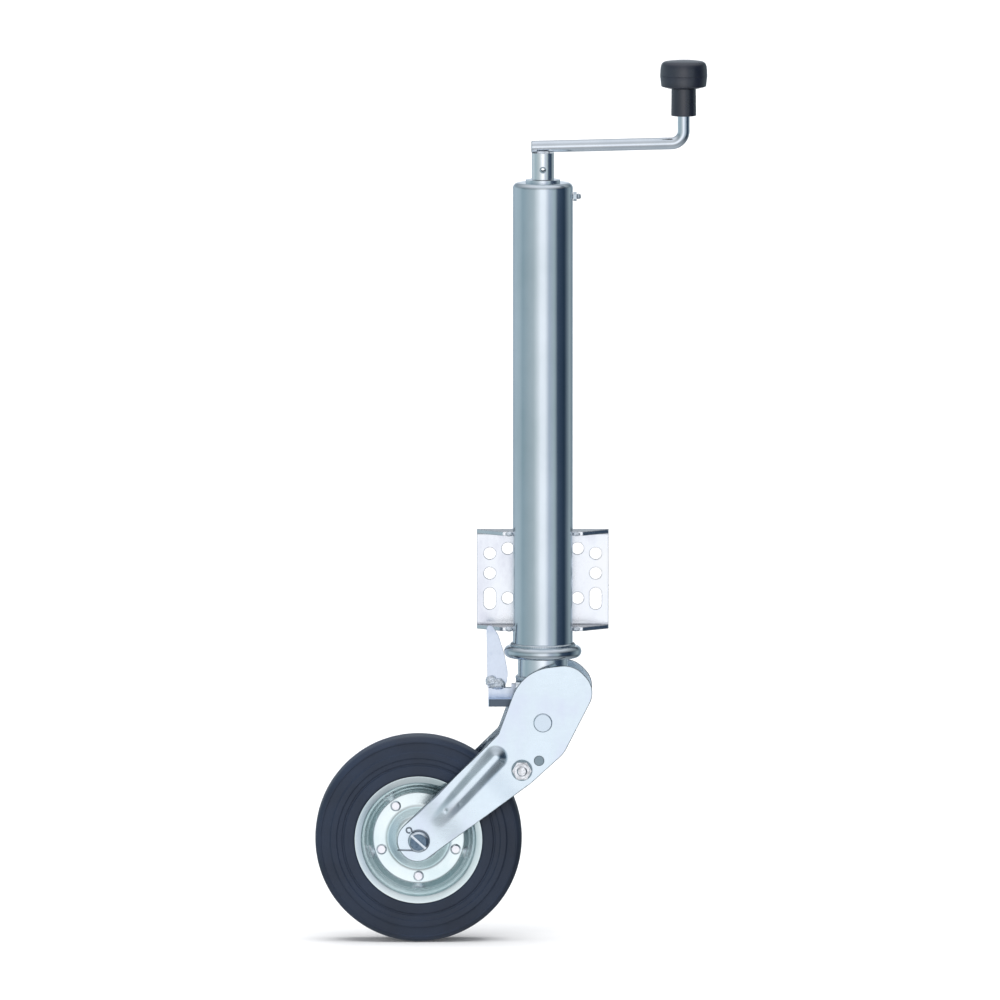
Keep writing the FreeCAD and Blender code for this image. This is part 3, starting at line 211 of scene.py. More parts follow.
def plain_steel(name, colour, rough=(0.22, 0.4), scale=250, shade=0.78, depth=0.00002, metallic=1.0):
    """Turned or drawn steel, with fine scratches."""
    made, tree, bsdf = shader(name, colour, metallic=metallic)
    marks = texture(tree, "ShaderNodeTexNoise", Scale=scale, Detail=5, Roughness=0.7)
    dark = tuple(c * shade for c in colour)
    tree.links.new(ramp(tree, marks.outputs["Fac"], [(0.3, dark), (0.62, colour)]), bsdf.inputs["Base Color"])
    tree.links.new(spread(tree, marks.outputs["Fac"], *rough), bsdf.inputs["Roughness"])
    bump(tree, bsdf, [(marks.outputs["Fac"], depth)])
    return made


def moulded(name, colour, rough, grain_scale, depth, shine=0.5):
    """Moulded plastic or rubber with a fine grain, faint wear and more or less shine."""
    made, tree, bsdf = shader(name, colour, roughness=rough, Specular_IOR_Level=shine)
    grain = texture(tree, "ShaderNodeTexNoise", Scale=grain_scale, Detail=3, Roughness=0.6)
    cloud = texture(tree, "ShaderNodeTexNoise", Scale=18, Detail=4)
    dark = tuple(c * 0.75 for c in colour)
    pale = tuple(c * 1.3 for c in colour)
    tree.links.new(ramp(tree, cloud.outputs["Fac"], [(0.3, dark), (0.7, pale)]), bsdf.inputs["Base Color"])
    worn = spread(tree, cloud.outputs["Fac"], rough - 0.06, rough + 0.08, 0.3, 0.7)
    tree.links.new(worn, bsdf.inputs["Roughness"])
    bump(tree, bsdf, [(grain.outputs["Fac"], depth)])
    return made


def painted_edge_shade(shade):
    """Painted shade: surfaces turned away from Y, sheared edges and hole walls among them, are darkened into
    dark outlines round a sheet.
    """
    return [(0.25, shade), (0.6, 1.0)]


def axle_metal():
    """Turned steel with a dull dark end face; the chamfer and the bottom of the slot stay bright."""
    made, tree, bsdf = shader("axle_metal", (0.70, 0.76, 0.82), metallic=1.0)
    where = tree.nodes.new("ShaderNodeTexCoord")
    split = tree.nodes.new("ShaderNodeSeparateXYZ")
    tree.links.new(where.outputs["Object"], split.inputs["Vector"])
    away = tree.nodes.new("ShaderNodeMath")
    away.operation = "COMPARE"
    away.inputs[1].default_value = AXIS_Y
    lowest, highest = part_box("axle")
    inside_end_face = 0.0003
    away.inputs[2].default_value = (highest.y - lowest.y) / 2 - inside_end_face
    tree.links.new(split.outputs["Y"], away.inputs[0])
    marks = texture(tree, "ShaderNodeTexNoise", Scale=500, Detail=4)
    dull = ramp(tree, marks.outputs["Fac"], [(0.35, (0.10, 0.15, 0.21)), (0.7, (0.20, 0.27, 0.35))])
    bright = (0.80, 0.86, 0.92)
    tree.links.new(mix_colours(tree, away.outputs["Value"], dull, bright), bsdf.inputs["Base Color"])
    tree.links.new(spread(tree, marks.outputs["Fac"], 0.2, 0.4), bsdf.inputs["Roughness"])
    bump(tree, bsdf, [(marks.outputs["Fac"], 0.00001)])
    return made


drawn = (55, 55, 1.2)
look = {
    "column_zinc": zinc("column_zinc", (0.70, 0.76, 0.81), (0.62, 0.69, 0.73), (0.10, 0.20), drawn),
    "stem_zinc": zinc("stem_zinc", (0.86, 0.91, 0.95), (0.72, 0.78, 0.83), (0.14, 0.26), drawn),
    # plate_zinc: painted shade darkens the sheared edges and hole walls into dark outlines
    "plate_zinc": zinc(
        "plate_zinc", (0.92, 0.94, 0.93), (0.72, 0.73, 0.77), (0.20, 0.32),
        facing=painted_edge_shade(0.4), patches=26, corner=0.0015,
    ),
    # fork_zinc: painted shade darkens the cheeks' edge walls and the steep flanks of the rib
    "fork_zinc": zinc(
        "fork_zinc", (0.76, 0.85, 0.87), (0.71, 0.77, 0.83), (0.18, 0.34), (14, 40, 40), (0, 0.76, 0),
        grain=0.00005, facing=[(0.5, 0.3), (0.86, 1.0)], patches=34, corner=0.0007,
    ),
    # latch_zinc: painted shade darkens the sheared edges into dark outlines
    "latch_zinc": zinc(
        "latch_zinc", (0.76, 0.82, 0.88), (0.54, 0.62, 0.72), (0.24, 0.40),
        grain=0.00012, facing=painted_edge_shade(0.45), patches=90, corner=0.0009,
    ),
    # block_cut: painted shade darkens the faces that lie squarely across Y, the blocks' front faces
    "block_cut": zinc(
        "block_cut", (0.62, 0.75, 0.90), (0.46, 0.58, 0.74), (0.30, 0.5), facing=[(0.6, 1), (0.9, 0.22)],
    ),
    "rim_zinc": zinc("rim_zinc", (0.84, 0.93, 0.94), (0.72, 0.84, 0.85), (0.16, 0.30), patches=24),
    "crank_zinc": zinc("crank_zinc", (0.76, 0.81, 0.86), (0.66, 0.72, 0.78), (0.12, 0.24), (1.5, 60, 60)),
    "fastener_steel": plain_steel("fastener_steel", (0.70, 0.78, 0.84)),
    "spring_steel": plain_steel("spring_steel", (0.34, 0.38, 0.43)),
    "bearing_steel": plain_steel("bearing_steel", (0.60, 0.61, 0.63), (0.15, 0.25)),
    "screw_steel": plain_steel("screw_steel", (0.45, 0.46, 0.48), (0.3, 0.5)),
    "nut_brass": plain_steel("nut_brass", (0.70, 0.55, 0.28), (0.25, 0.4)),
    "bush_plastic": moulded("bush_plastic", (0.03, 0.032, 0.036), 0.45, 700, 0.00003),
    "knob_plastic": moulded("knob_plastic", (0.010, 0.013, 0.024), 0.30, 1500, 0.00006, 1.0),
    "tyre_rubber": moulded("tyre_rubber", (0.0135, 0.022, 0.042), 0.5, 800, 0.00016),
}
for part in frame["record"]["subparts"]:
    piece = nodes[part["node"]]
    piece.data.materials.clear()
    piece.data.materials.append(look[part["material_slot"]])

nut_look = plain_steel("nut_steel", (0.96, 0.97, 1.0), (0.14, 0.34), 210, 0.42, 0.00022)
weld_look = plain_steel("weld_zinc", (0.86, 0.92, 1.0), (0.18, 0.34), 300, 0.45, 0.0006, 0.72)
sleeve_look = zinc("sleeve_zinc", (0.96, 0.98, 0.99), (0.84, 0.88, 0.92), (0.14, 0.26))
head_look = zinc(
    "rivet_head", (0.95, 0.93, 0.97), (0.78, 0.78, 0.84), (0.2, 0.34), patches=120, corner=0.0007,
)
# Dark steel of the pins; on the latch washer it is also a painted shadow ring round the nut
pin_and_shade_ring_look = plain_steel("pin_steel_and_shade_ring", (0.36, 0.45, 0.50), (0.35, 0.5))
# Pivot rivet: painted shade darkens its edge walls into dark outlines
rivet_look = zinc("rivet_zinc", (0.70, 0.79, 0.83), (0.60, 0.69, 0.74), (0.2, 0.34), facing=painted_edge_shade(0.4))
for name, made in (
    ("latch_block_near", look["block_cut"]),
    ("latch_block_far", look["block_cut"]),
    ("axle", axle_metal()),
    ("latch_nut", nut_look),
    ("latch_bolt", nut_look),
    ("stop_pin", pin_and_shade_ring_look),
    ("pivot_rivet", rivet_look),
    ("rim_rivets", head_look),
    ("crank_sleeve", sleeve_look),
    ("roll_pin", pin_and_shade_ring_look),
    # The washer's dark steel is a painted shadow ring round the nut
    ("latch_washer", pin_and_shade_ring_look),
):
    nodes[name].data.materials[0] = made


# Pieces made here
MERGE = 1e-7
BEAD_STEP = 0.0004
RING_BEAD, PLATE_BEAD, CRANK_BEAD, FIN_BEAD = 0.0023, 0.0026, 0.0020, 0.0044


def add_mesh(name, verts, faces, body, slot_name):
    """A mesh piece in the row frame with that slot's finish; it rides on a CAD body where one is named."""
    data = bpy.data.meshes.new(name)
    data.from_pydata([tuple(point) for point in verts], [], faces)
    data.validate()
    shape = bmesh.new()
    shape.from_mesh(data)
    bmesh.ops.remove_doubles(shape, verts=shape.verts, dist=MERGE)
    bmesh.ops.recalc_face_normals(shape, faces=shape.faces)
    shape.to_mesh(data)
    shape.free()
    data.shade_smooth()
    piece = bpy.data.objects.new(name, data)
    bpy.context.scene.collection.objects.link(piece)
    data.materials.append(look[slot_name])
    if body:
        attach(piece, body)
    return piece


def sweep(path, radii, sides=12):
    """Verts and faces of a tube along a path, with a radius at each point; its ends are capped."""
    path = [Vector(point) for point in path]
    count = len(path)
    verts, faces = [], []
    side = None
    for index, point in enumerate(path):
        way = (path[min(index + 1, count - 1)] - path[max(index - 1, 0)]).normalized()
        if side is None:
            side = way.orthogonal().normalized()
        side = (side - way * side.dot(way)).normalized()
        up = way.cross(side)
        for step in range(sides):
            angle = 2 * math.pi * step / sides
            verts.append(point + (side * math.cos(angle) + up * math.sin(angle)) * radii[index])
    for ring in range(count - 1):
        for step in range(sides):
            here, there = ring * sides, (ring + 1) * sides
            after = (step + 1) % sides
            faces.append((here + step, here + after, there + after, there + step))
    faces.append(tuple(range(sides)))
    faces.append(tuple((count - 1) * sides + step for step in range(sides)))
    return verts, faces


def lathe(profile, axis_point, axis, sides):
    """Verts and faces of a closed outline of (radius, height) turned about an axis."""
    axis = Vector(axis)
    side = axis.orthogonal().normalized()
    up = axis.cross(side)
    verts, faces = [], []
    for step in range(sides):
        angle = 2 * math.pi * step / sides
        out = side * math.cos(angle) + up * math.sin(angle)
        verts += [Vector(axis_point) + axis * height + out * radius for radius, height in profile]
    rows = len(profile)
    for step in range(sides):
        here, there = step * rows, ((step + 1) % sides) * rows
        for row in range(rows):
            after = (row + 1) % rows
            faces.append((here + row, here + after, there + after, there + row))
    return verts, faces


def weld_radii(lengths, radius, seed):
    """Radii along a bead: overlapping ripples, a slow waver, and rounded ends."""
    ripple_length, slow, quick = 0.0017, 0.0061, 0.0023
    body_share, thinnest = 0.86, 0.02
    whole = lengths[-1]
    radii = []
    for run in lengths:
        ripple = 0.10 * abs(math.sin(math.pi * run / ripple_length + seed))
        waver = 0.07 * math.sin(run / slow + seed * 3) + 0.05 * math.sin(run / quick + seed)
        end = min(1, min(run, whole - run) / (radius * 1.2))
        radii.append(radius * (body_share + ripple + waver) * math.sqrt(max(thinnest, end * (2 - end))))
    return radii


def weld(name, path, radius, body, slot_name, seed, rough=True):
    """A rippled weld bead along a path, partly sunk in the corner that it fills."""
    lengths = [0.0]
    for index in range(1, len(path)):
        lengths.append(lengths[-1] + (Vector(path[index]) - Vector(path[index - 1])).length)
    verts, faces = sweep(path, weld_radii(lengths, radius, seed))
    made = add_mesh(name, verts, faces, body, slot_name)
    if rough:
        made.data.materials[0] = weld_look
    return made


def ring_path(radius, height):
    """Points of a whole circle round the column's axis, ending where it starts."""
    count = int(2 * math.pi * radius / BEAD_STEP)
    angles = [2 * math.pi * index / count for index in range(count)]
    path = [(radius * math.cos(a), AXIS_Y + radius * math.sin(a), height) for a in angles]
    return path + path[:1]


def line_path(start, end):
    """Points of a straight line."""
    start, end = Vector(start), Vector(end)
    count = max(2, int((end - start).length / BEAD_STEP))
    return [start.lerp(end, index / count) for index in range(count + 1)]


def rounded(profile, radius, steps=4):
    """The same closed outline with each corner turned into a small arc; a corner may name its own radius."""
    made = []
    count = len(profile)
    for index, corner in enumerate(profile):
        here = Vector(corner[:2])
        size = corner[2] if len(corner) > 2 else radius
        before = Vector(profile[index - 1][:2]) - here
        after = Vector(profile[(index + 1) % count][:2]) - here
        reach = min(size, before.length * 0.48, after.length * 0.48)
        if reach < 1e-6:
            made.append(tuple(here))
            continue
        start, end = here + before.normalized() * reach, here + after.normalized() * reach
        for step in range(steps + 1):
            part = step / steps
            made.append(tuple(start.lerp(here, part).lerp(here.lerp(end, part), part)))
    return made


def collar_and_foot_welds():
    """Rings of weld: one on top of the collar and one where the inner tube meets its foot."""
    for node, body, slot_name, lift in (
        ("collar_weld", "column", "column_zinc", 0.0006),
        ("foot_weld", "stem", "stem_zinc", 0.0008),
    ):
        lowest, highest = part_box(node)
        path = ring_path((highest.x - lowest.x) / 2 - 0.0020, lowest.z + lift)
        made = weld(node + "_bead", path, RING_BEAD, body, slot_name, seed=1.3, rough=False)
        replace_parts(made, node)


def plate_beads():
    """Short beads that join the plate's flanges to the tube."""
    lowest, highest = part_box("plate_welds")
    level = (lowest.z + highest.z) / 2
    reach = (highest.z - lowest.z) / 2 - 0.0032
    inner, outer, rise = 0.0298, 0.0375, 0.0004
    made = []
    for side in (-1, 1):
        for end in (-1, 1):
            start = (side * inner, AXIS_Y - rise, level + end * reach)
            stop = (side * outer, AXIS_Y + rise, level + end * (reach - rise))
            path = line_path(start, stop)
            name = "plate_bead_%d" % len(made)
            made.append(weld(name, path, PLATE_BEAD, "column", "plate_zinc", seed=len(made)))
    for one in made:
        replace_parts(one, "plate_welds")


# The fork's cheeks, in millimetres along and across the arm from the pivot
FORK_ANGLE = math.radians(43.7)
PIVOT = Vector((0, AXIS_Y, -0.1386))
CHEEK_FACE = 33
CHEEK_SHEET = 4
RIB_CREST = 39.5
BLADE = [
    (40, 22.4, 8),
    (-21.6, 52.5, 45),
    (-63, 20.9, 27),
    (-63, -12.8, 23),
    (6, -36.9, 30),
    (51, -35.9, 40),
    (193, -17, 18.6),
    (193, 21, 20.6),
]
CHEEK_HOLES = [(0, 0, 7.08), (29, -25, 4.75), (48, -20, 5), (172, 0, 10)]
CHEEK_EDGE = 0.5
HOLE_EDGE = 0.35
EDGE_DROP = 0.7
HOLE_SIDES = 48
ARC_STEPS = 12
FINE, COARSE = 1.4, 5.0
FINE_FROM, FINE_TO = 40, 156
GRID_ALONG, GRID_ACROSS = (-62.0, 193), (-36.0, 54)
SAME_SPOT = 1e-6
STEP_HEIGHT = 3
STEP_UP, STEP_DOWN = (56, 92), (122, 160)
RIB_START, RIB_STOP = Vector((58, 7.5)), Vector((150, 1.5))
RIB_FADE = (108, 152)
DENTS = [Vector((117, -1.6)), Vector((131, 3.5))]
DENT_DEPTH = 0.7


def ease(start, end, value):
    """Rises smoothly from nought at the start to one at the end."""
    part = min(1, max(0, (value - start) / (end - start)))
    return part * part * (3 - 2 * part)


def arc_corners(corners):
    """The closed outline of corners (x, y, radius), each turned into a true arc."""
    made = []
    for index, (x, y, radius) in enumerate(corners):
        here = Vector((x, y))
        before = (Vector(corners[index - 1][:2]) - here).normalized()
        after = (Vector(corners[(index + 1) % len(corners)][:2]) - here).normalized()
        half = before.angle(after) / 2
        middle = here + (before + after).normalized() * radius / math.sin(half)
        start = (here + before * radius / math.tan(half) - middle).normalized()
        stop = (here + after * radius / math.tan(half) - middle).normalized()
        made += [middle + start.slerp(stop, step / ARC_STEPS) * radius for step in range(ARC_STEPS + 1)]
    return made


def inset(outline, depth):
    """The same outline moved inwards, for one that runs clockwise or the other way round."""
    count = len(outline)
    area = sum(outline[index - 1].cross(outline[index]) for index in range(count))
    made = []
    for index, here in enumerate(outline):
        way = outline[(index + 1) % count] - outline[index - 1]
        made.append(here + Vector((-way.y, way.x)).normalized() * math.copysign(depth, area))
    return made


def inside(outline, spot):
    """Whether a spot lies within an outline."""
    found = False
    for index, here in enumerate(outline):
        before = outline[index - 1]
        if (here.y > spot.y) != (before.y > spot.y):
            if spot.x < here.x + (before.x - here.x) * (spot.y - here.y) / (before.y - here.y):
                found = not found
    return found


def cheek_level(spot):
    """How far out the pressed sheet lies: its step along the arm, the rib that fades, and two dents."""
    level = CHEEK_FACE + STEP_HEIGHT * (ease(*STEP_UP, spot.x) - ease(*STEP_DOWN, spot.x))
    rib = RIB_STOP - RIB_START
    share = min(1, max(0, (spot - RIB_START).dot(rib) / rib.length_squared))
    reach = (spot - RIB_START.lerp(RIB_STOP, share)).length / (12.2 - 2.8 * share)
    ridge = (1 - ease(0.18, 1.0, reach)) * (1 - ease(*RIB_FADE, spot.x))
    level += (RIB_CREST - level) * ridge
    for dent in DENTS:
        level -= DENT_DEPTH * math.exp(-(spot - dent).length_squared / 1.6)
    return level


def clear_of_holes(spot, margin):
    """Whether a spot lies outside every hole of the cheek, by more than a margin."""
    return all((spot - Vector((x, y))).length > radius + margin for x, y, radius in CHEEK_HOLES)


def fork_cheek(side, node):
    """A cheek as one smooth pressed sheet, with broken edges, on the plan of the CAD cheek."""
    outline = arc_corners(BLADE)
    loops = [(outline, True), (inset(outline, CHEEK_EDGE), False)]
    angles = [2 * math.pi * step / HOLE_SIDES for step in range(HOLE_SIDES)]
    for x, y, radius in CHEEK_HOLES:
        for extra, edge in ((0, True), (HOLE_EDGE, False)):
            ring = [Vector((x, y)) + Vector((math.cos(a), math.sin(a))) * (radius + extra) for a in angles]
            loops.append((ring, edge))
    spots, edges, rims = [], [], set()
    for loop, edge in loops:
        first = len(spots)
        spots += loop
        edges += [(first + index, first + (index + 1) % len(loop)) for index in range(len(loop))]
        rims.update(range(first, len(spots)) if edge else ())
    along, far_end = GRID_ALONG
    while along < far_end:
        step = FINE if FINE_FROM < along < FINE_TO else COARSE
        across, top = GRID_ACROSS
        while across < top:
            spot = Vector((along, across))
            if inside(loops[1][0], spot) and clear_of_holes(spot, 1):
                spots.append(spot)
            across += step
        along += step
    flat, _, triangles, sources, _, _ = delaunay_2d_cdt(spots, edges, [], 1, SAME_SPOT)
    kept = []
    for triangle in triangles:
        middle = sum((flat[index] for index in triangle), Vector((0, 0))) / 3
        if inside(outline, middle) and clear_of_holes(middle, 0):
            kept.append(tuple(triangle))
    count = len(flat)
    levels = [cheek_level(spot) for spot in flat]
    drops = [EDGE_DROP if rims.intersection(source) else 0 for source in sources]
    places = [(spot, level - drop) for spot, level, drop in zip(flat, levels, drops)]
    places += [(spot, level - CHEEK_SHEET + drop) for spot, level, drop in zip(flat, levels, drops)]
    ways = dict.fromkeys((one[index], one[(index + 1) % 3]) for one in kept for index in range(3))
    walls = [(a, b, b + count, a + count) for a, b in ways if (b, a) not in ways]
    faces = kept + [tuple(index + count for index in reversed(triangle)) for triangle in kept] + walls
    verts = []
    for spot, out in places:
        x = -spot.x * math.cos(FORK_ANGLE) - spot.y * math.sin(FORK_ANGLE)
        z = -spot.x * math.sin(FORK_ANGLE) + spot.y * math.cos(FORK_ANGLE)
        verts.append(PIVOT + Vector((x, out * side, z)) / 1000)
    made = add_mesh(node + "_sheet", verts, faces, "fork", "fork_zinc")
    made.data.set_sharp_from_angle(angle=math.radians(30))
    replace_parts(made, node)


def crank_beads():
    """Two beads that hold the rod on its sleeve."""
    _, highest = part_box("crank_sleeve")
    half_length = 0.0066
    for index, side in enumerate((-1, 1)):
        start = (-half_length, AXIS_Y + side * 0.0064, highest.z + 0.0001)
        stop = (half_length, AXIS_Y + side * 0.0067, highest.z + 0.0002)
        path = line_path(start, stop)
        made = weld("crank_bead_%d" % index, path, CRANK_BEAD, "crank", "crank_zinc", seed=index * 2)
        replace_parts(made, "crank_welds")


def fin_beads():
    """A fat lump of weld on each side of the fin's foot, laid as three short runs over each other."""
    lowest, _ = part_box("fin_welds")
    turns = [
        (0.0020, 0.0010),
        (0.0150, 0.0014),
        (0.0130, 0.0046),
        (0.0020, 0.0044),
        (0.0036, 0.0078),
        (0.0100, 0.0074),
    ]
    left, bottom, off_centre = lowest.x - 0.0010, lowest.z + 0.0010, 0.0031
    for index, side in enumerate((-1, 1)):
        corners = [Vector((left + x, AXIS_Y + side * off_centre, bottom + z)) for x, z in turns]
        path = []
        for first, second in zip(corners, corners[1:]):
            path += line_path(first, second)[:-1]
        made = weld("fin_bead_%d" % index, path, FIN_BEAD, "latch", "latch_zinc", seed=index + 4)
        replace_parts(made, "fin_welds")


def tyre():
    """The solid tyre: crowned tread, parting line, and the raised rings on its sides."""
    lowest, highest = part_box("tyre")
    centre = (lowest + highest) / 2
    tread = (highest.z - lowest.z) / 2
    half = (highest.y - lowest.y) / 2
    bead = 0.0642
    side = [
        (0.0494, 0.0024),
        (0.0573, half - 0.0054),
        (0.0589, half - 0.0028),
        (bead, half - 0.0028),
        (bead, half - 0.0010, 0.0004),
        (0.0660, half - 0.0003, 0.0006),
        (0.0745, half - 0.0006, 0.0006),
        (0.0750, half - 0.0016, 0.0005),
        (0.0765, half - 0.0016, 0.0005),
        (0.0770, half - 0.0008, 0.0006),
        (0.0815, half - 0.0010, 0.0006),
        (0.0822, half, 0.0006),
        (0.0878, half, 0.0008),
        (0.0888, half - 0.0012, 0.0008),
        (0.0970, half - 0.0022, 0.0010),
        (0.0980, half - 0.0014, 0.0006),
        (0.0992, half - 0.0020, 0.0008),
        (tread - 0.0010, half - 0.0055, 0.004),
        (tread - 0.0001, half - 0.0110, 0.005),
        (tread, 0.0009, 0.0002),
    ]
    outline = side + [(radius, -height, *size) for radius, height, *size in reversed(side)]
    verts, faces = lathe(rounded(outline, 0.0004), centre, (0, -1, 0), 256)
    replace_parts(add_mesh("tyre_rubber", verts, faces, "wheel", "tyre_rubber"), "tyre")


def knob():
    """The cap that the hand holds: a waisted skirt under a crowned top, with the parting line round it."""
    lowest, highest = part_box("knob_cap")
    top = highest.z
    centre = Vector(((lowest.x + highest.x) / 2, (lowest.y + highest.y) / 2, 0))
    widest = (highest.x - lowest.x) / 2
    profile = [
        (0, top),
        (0.0120, top - 0.0003, 0.002),
        (0.0196, top - 0.0013, 0.002),
        (0.0221, top - 0.0033, 0.003),
        (0.0232, top - 0.0074, 0.004),
        (widest - 0.0001, top - 0.0150, 0.002),
        (widest, top - 0.0152),
        (widest - 0.0003, top - 0.0155),
        (widest - 0.0001, top - 0.0158),
        (0.0224, top - 0.0262, 0.0008),
        (0.0208, top - 0.0266, 0.0004),
        (0.0150, top - 0.0282, 0.0006),
        (0.0124, lowest.z + 0.0004, 0.0006),
        (0, lowest.z + 0.0004),
    ]
    verts, faces = lathe(rounded(profile, 0), centre, (0, 0, 1), 96)
    made = add_mesh("knob_dome", verts, faces, "knob", "knob_plastic")
    made.data.set_sharp_from_angle(angle=math.radians(50))
    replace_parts(made, "knob_cap")
    neck_low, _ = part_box("knob_neck")
    bore = 0.0052
    foot = neck_low.z - 0.0018
    profile = [
        (bore, lowest.z + 0.0008),
        (0.0122, lowest.z + 0.0008),
        (0.0125, foot, 0.0012),
        (0.0105, foot, 0.0004),
        (0.0102, foot + 0.0010),
        (bore, foot + 0.0010),
    ]
    verts, faces = lathe(rounded(profile, 0), centre, (0, 0, 1), 96)
    made = add_mesh("knob_grip", verts, faces, "knob", "knob_plastic")
    made.data.set_sharp_from_angle(angle=math.radians(40))
    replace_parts(made, "knob_neck")


def rim_half(side, node):
    """One pressed half of the rim: boss, flat disc, stepped wall and the flared lip that holds the tyre."""
    lowest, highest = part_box("tyre")
    centre = (lowest + highest) / 2
    profile = [
        (16, 11.5, 0),
        (22, 11.5, 3),
        (31.6, 2.5, 3),
        (46.4, 2.5, 2),
        (50.6, 12.2, 1),
        (51.6, 12.8, 0.8),
        (54.8, 20.0, 1.6),
        (57.2, 23.5, 1.2),
        (64, 25, 0.6),
        (64, 22.5, 0.4),
        (58.8, 21.6, 1),
        (57, 19.5, 1),
        (48, 0, 0),
        (28.8, 0, 1),
        (20.8, 9, 1),
        (16, 9, 0),
    ]
    scaled = [tuple(value / 1000 for value in corner) for corner in profile]
    verts, faces = lathe(rounded(scaled, 0, 5), centre, (0, side, 0), 200)
    made = add_mesh(node + "_pressing", verts, faces, "wheel", "rim_zinc")
    made.data.set_sharp_from_angle(angle=math.radians(50))
    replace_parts(made, node)


def arc_points(centre, radius, start, stop, level, steps):
    """Points of an arc in the plane across the axle, at Y = level; angles in degrees from +X towards +Z."""
    angles = [math.radians(start + (stop - start) * step / steps) for step in range(steps + 1)]
    return [Vector((centre.x + radius * math.cos(a), level, centre.z + radius * math.sin(a))) for a in angles]


def axle_clips():
    """Sprung wire clips: an eye, an arc over the axle's end, and a tail that lies past it."""
    eye_radius, tail_step = 0.0027, 0.004
    for side, node in ((-1, "axle_clip_near"), (1, "axle_clip_far")):
        lowest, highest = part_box("axle")
        centre = (lowest + highest) / 2
        low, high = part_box(node)
        level = (low.y + high.y) / 2
        wire = (high.y - low.y) / 2 * 0.85
        reach = (highest.z - lowest.z) / 2 + wire
        eye_centre = centre + Vector((-0.0095, 0, 0.0108))
        path = arc_points(eye_centre, eye_radius, -60, -395, level, 20)
        path += arc_points(centre, reach, 122, -118, level, 40)
        tail = path[-1]
        path += [tail + Vector((-tail_step * step, 0, 0.0001 * step)) for step in range(1, 5)]
        smooth = [(a + b * 2 + c) / 4 for a, b, c in zip(path, path[1:], path[2:])]
        smooth = [path[0], *smooth, path[-1]]
        verts, faces = sweep(smooth, [wire] * len(smooth), 14)
        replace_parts(add_mesh(node + "_wire", verts, faces, "fork", "spring_steel"), node)


def latch_coil():
    """The torsion spring: a true helix with one leg hooked on the strut and one under the stop pin."""
    low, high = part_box("latch_spacer")
    centre = (low + high) / 2
    wire, pitch, slack = 0.001, 0.0023, 0.0006
    leg, hook, tail_step, points_a_turn = 0.024, 0.007, 0.008, 28
    reach = (high.z - low.z) / 2 + wire + slack
    near = AXIS_Y - 0.0064
    turns = 3 + 110 / 360
    steps = int(turns * points_a_turn)
    begin = math.radians(200)
    out = Vector((math.cos(begin), 0, math.sin(begin)))
    along = Vector((math.sin(begin), 0, -math.cos(begin)))
    start = centre + out * reach
    start.y = near
    corner = start + along * leg
    path = [corner + Vector((0, hook * part, 0)) for part in (1, 0.7, 0.4, 0.2)]
    path += [corner - along * run for run in (0.0012, 0.006, 0.013, 0.020)]
    for step in range(steps + 1):
        angle = begin + 2 * math.pi * turns * step / steps
        spot = Vector((reach * math.cos(angle), 0, reach * math.sin(angle)))
        spot.y = near - centre.y - pitch * turns * step / steps
        path.append(centre + spot)
    angle = begin + 2 * math.pi * turns
    tail = Vector((-math.sin(angle), 0, math.cos(angle)))
    path += [path[-1] + tail * tail_step * part for part in (1, 2, 3)]
    verts, faces = sweep(path, [wire] * len(path), 14)
    made = add_mesh("latch_coil", verts, faces, None, "spring_steel")
    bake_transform(made)
    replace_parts(made, "latch_spring")


collar_and_foot_welds()
plate_beads()
fork_cheek(-1, "fork_cheek_near")
fork_cheek(1, "fork_cheek_far")
crank_beads()
fin_beads()
knob()
tyre()
rim_half(-1, "rim_half_near")
rim_half(1, "rim_half_far")
axle_clips()
latch_coil()


# Floor and light
def floor_sheet():
    """White paper, which polished metal doesn't show; it stays under the wheel when the stem is wound out."""
    wheel_low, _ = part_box("tyre")
    half = 60
    corners = [(-half, -half), (half, -half), (half, half), (-half, half)]
    data = bpy.data.meshes.new("floor")
    data.from_pydata([(x, y, wheel_low.z) for x, y in corners], [], [tuple(range(len(corners)))])
    floor = bpy.data.objects.new("floor", data)
    bpy.context.scene.collection.objects.link(floor)
    paper, tree, bsdf = shader("floor_paper", (0.93, 0.93, 0.93), roughness=0.9, Specular_IOR_Level=0.0)
    fibre = texture(tree, "ShaderNodeTexNoise", Scale=40, Detail=3)
    white = ramp(tree, fibre.outputs["Fac"], [(0.3, (0.92, 0.92, 0.92)), (0.7, (0.94, 0.94, 0.94))])
    tree.links.new(white, bsdf.inputs["Base Color"])
    bsdf.inputs["Emission Color"].default_value = (1, 1, 1, 1)
    bsdf.inputs["Emission Strength"].default_value = 0.05
    data.materials.append(paper)
    floor.visible_glossy = False
    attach(floor, "stem")


# What stands round the part, by azimuth from the camera's side, positive to the right
WALLS = [
    (-180, (0.76, 0.84, 0.92)),
    (-165, (0.46, 0.54, 0.62)),
    (-150, (0.40, 0.49, 0.56)),
    (-128, (0.50, 0.60, 0.66)),
    (-100, (0.46, 0.56, 0.61)),
    (-84, (0.34, 0.45, 0.50)),
    (-60, (0.42, 0.51, 0.55)),
    (-36, (0.52, 0.59, 0.62)),
    (-20, (0.82, 0.87, 0.90)),
    (-8, (1.12, 1.14, 1.18)),
    (8, (1.12, 1.14, 1.18)),
    (24, (0.52, 0.58, 0.68)),
    (46, (0.46, 0.55, 0.58)),
    (58, (0.06, 0.09, 0.14)),
    (92, (0.02, 0.04, 0.07)),
    (104, (0.12, 0.16, 0.20)),
    (126, (0.36, 0.43, 0.46)),
    (146, (0.20, 0.26, 0.30)),
    (163, (0.36, 0.44, 0.50)),
    (180, (0.76, 0.84, 0.92)),
]

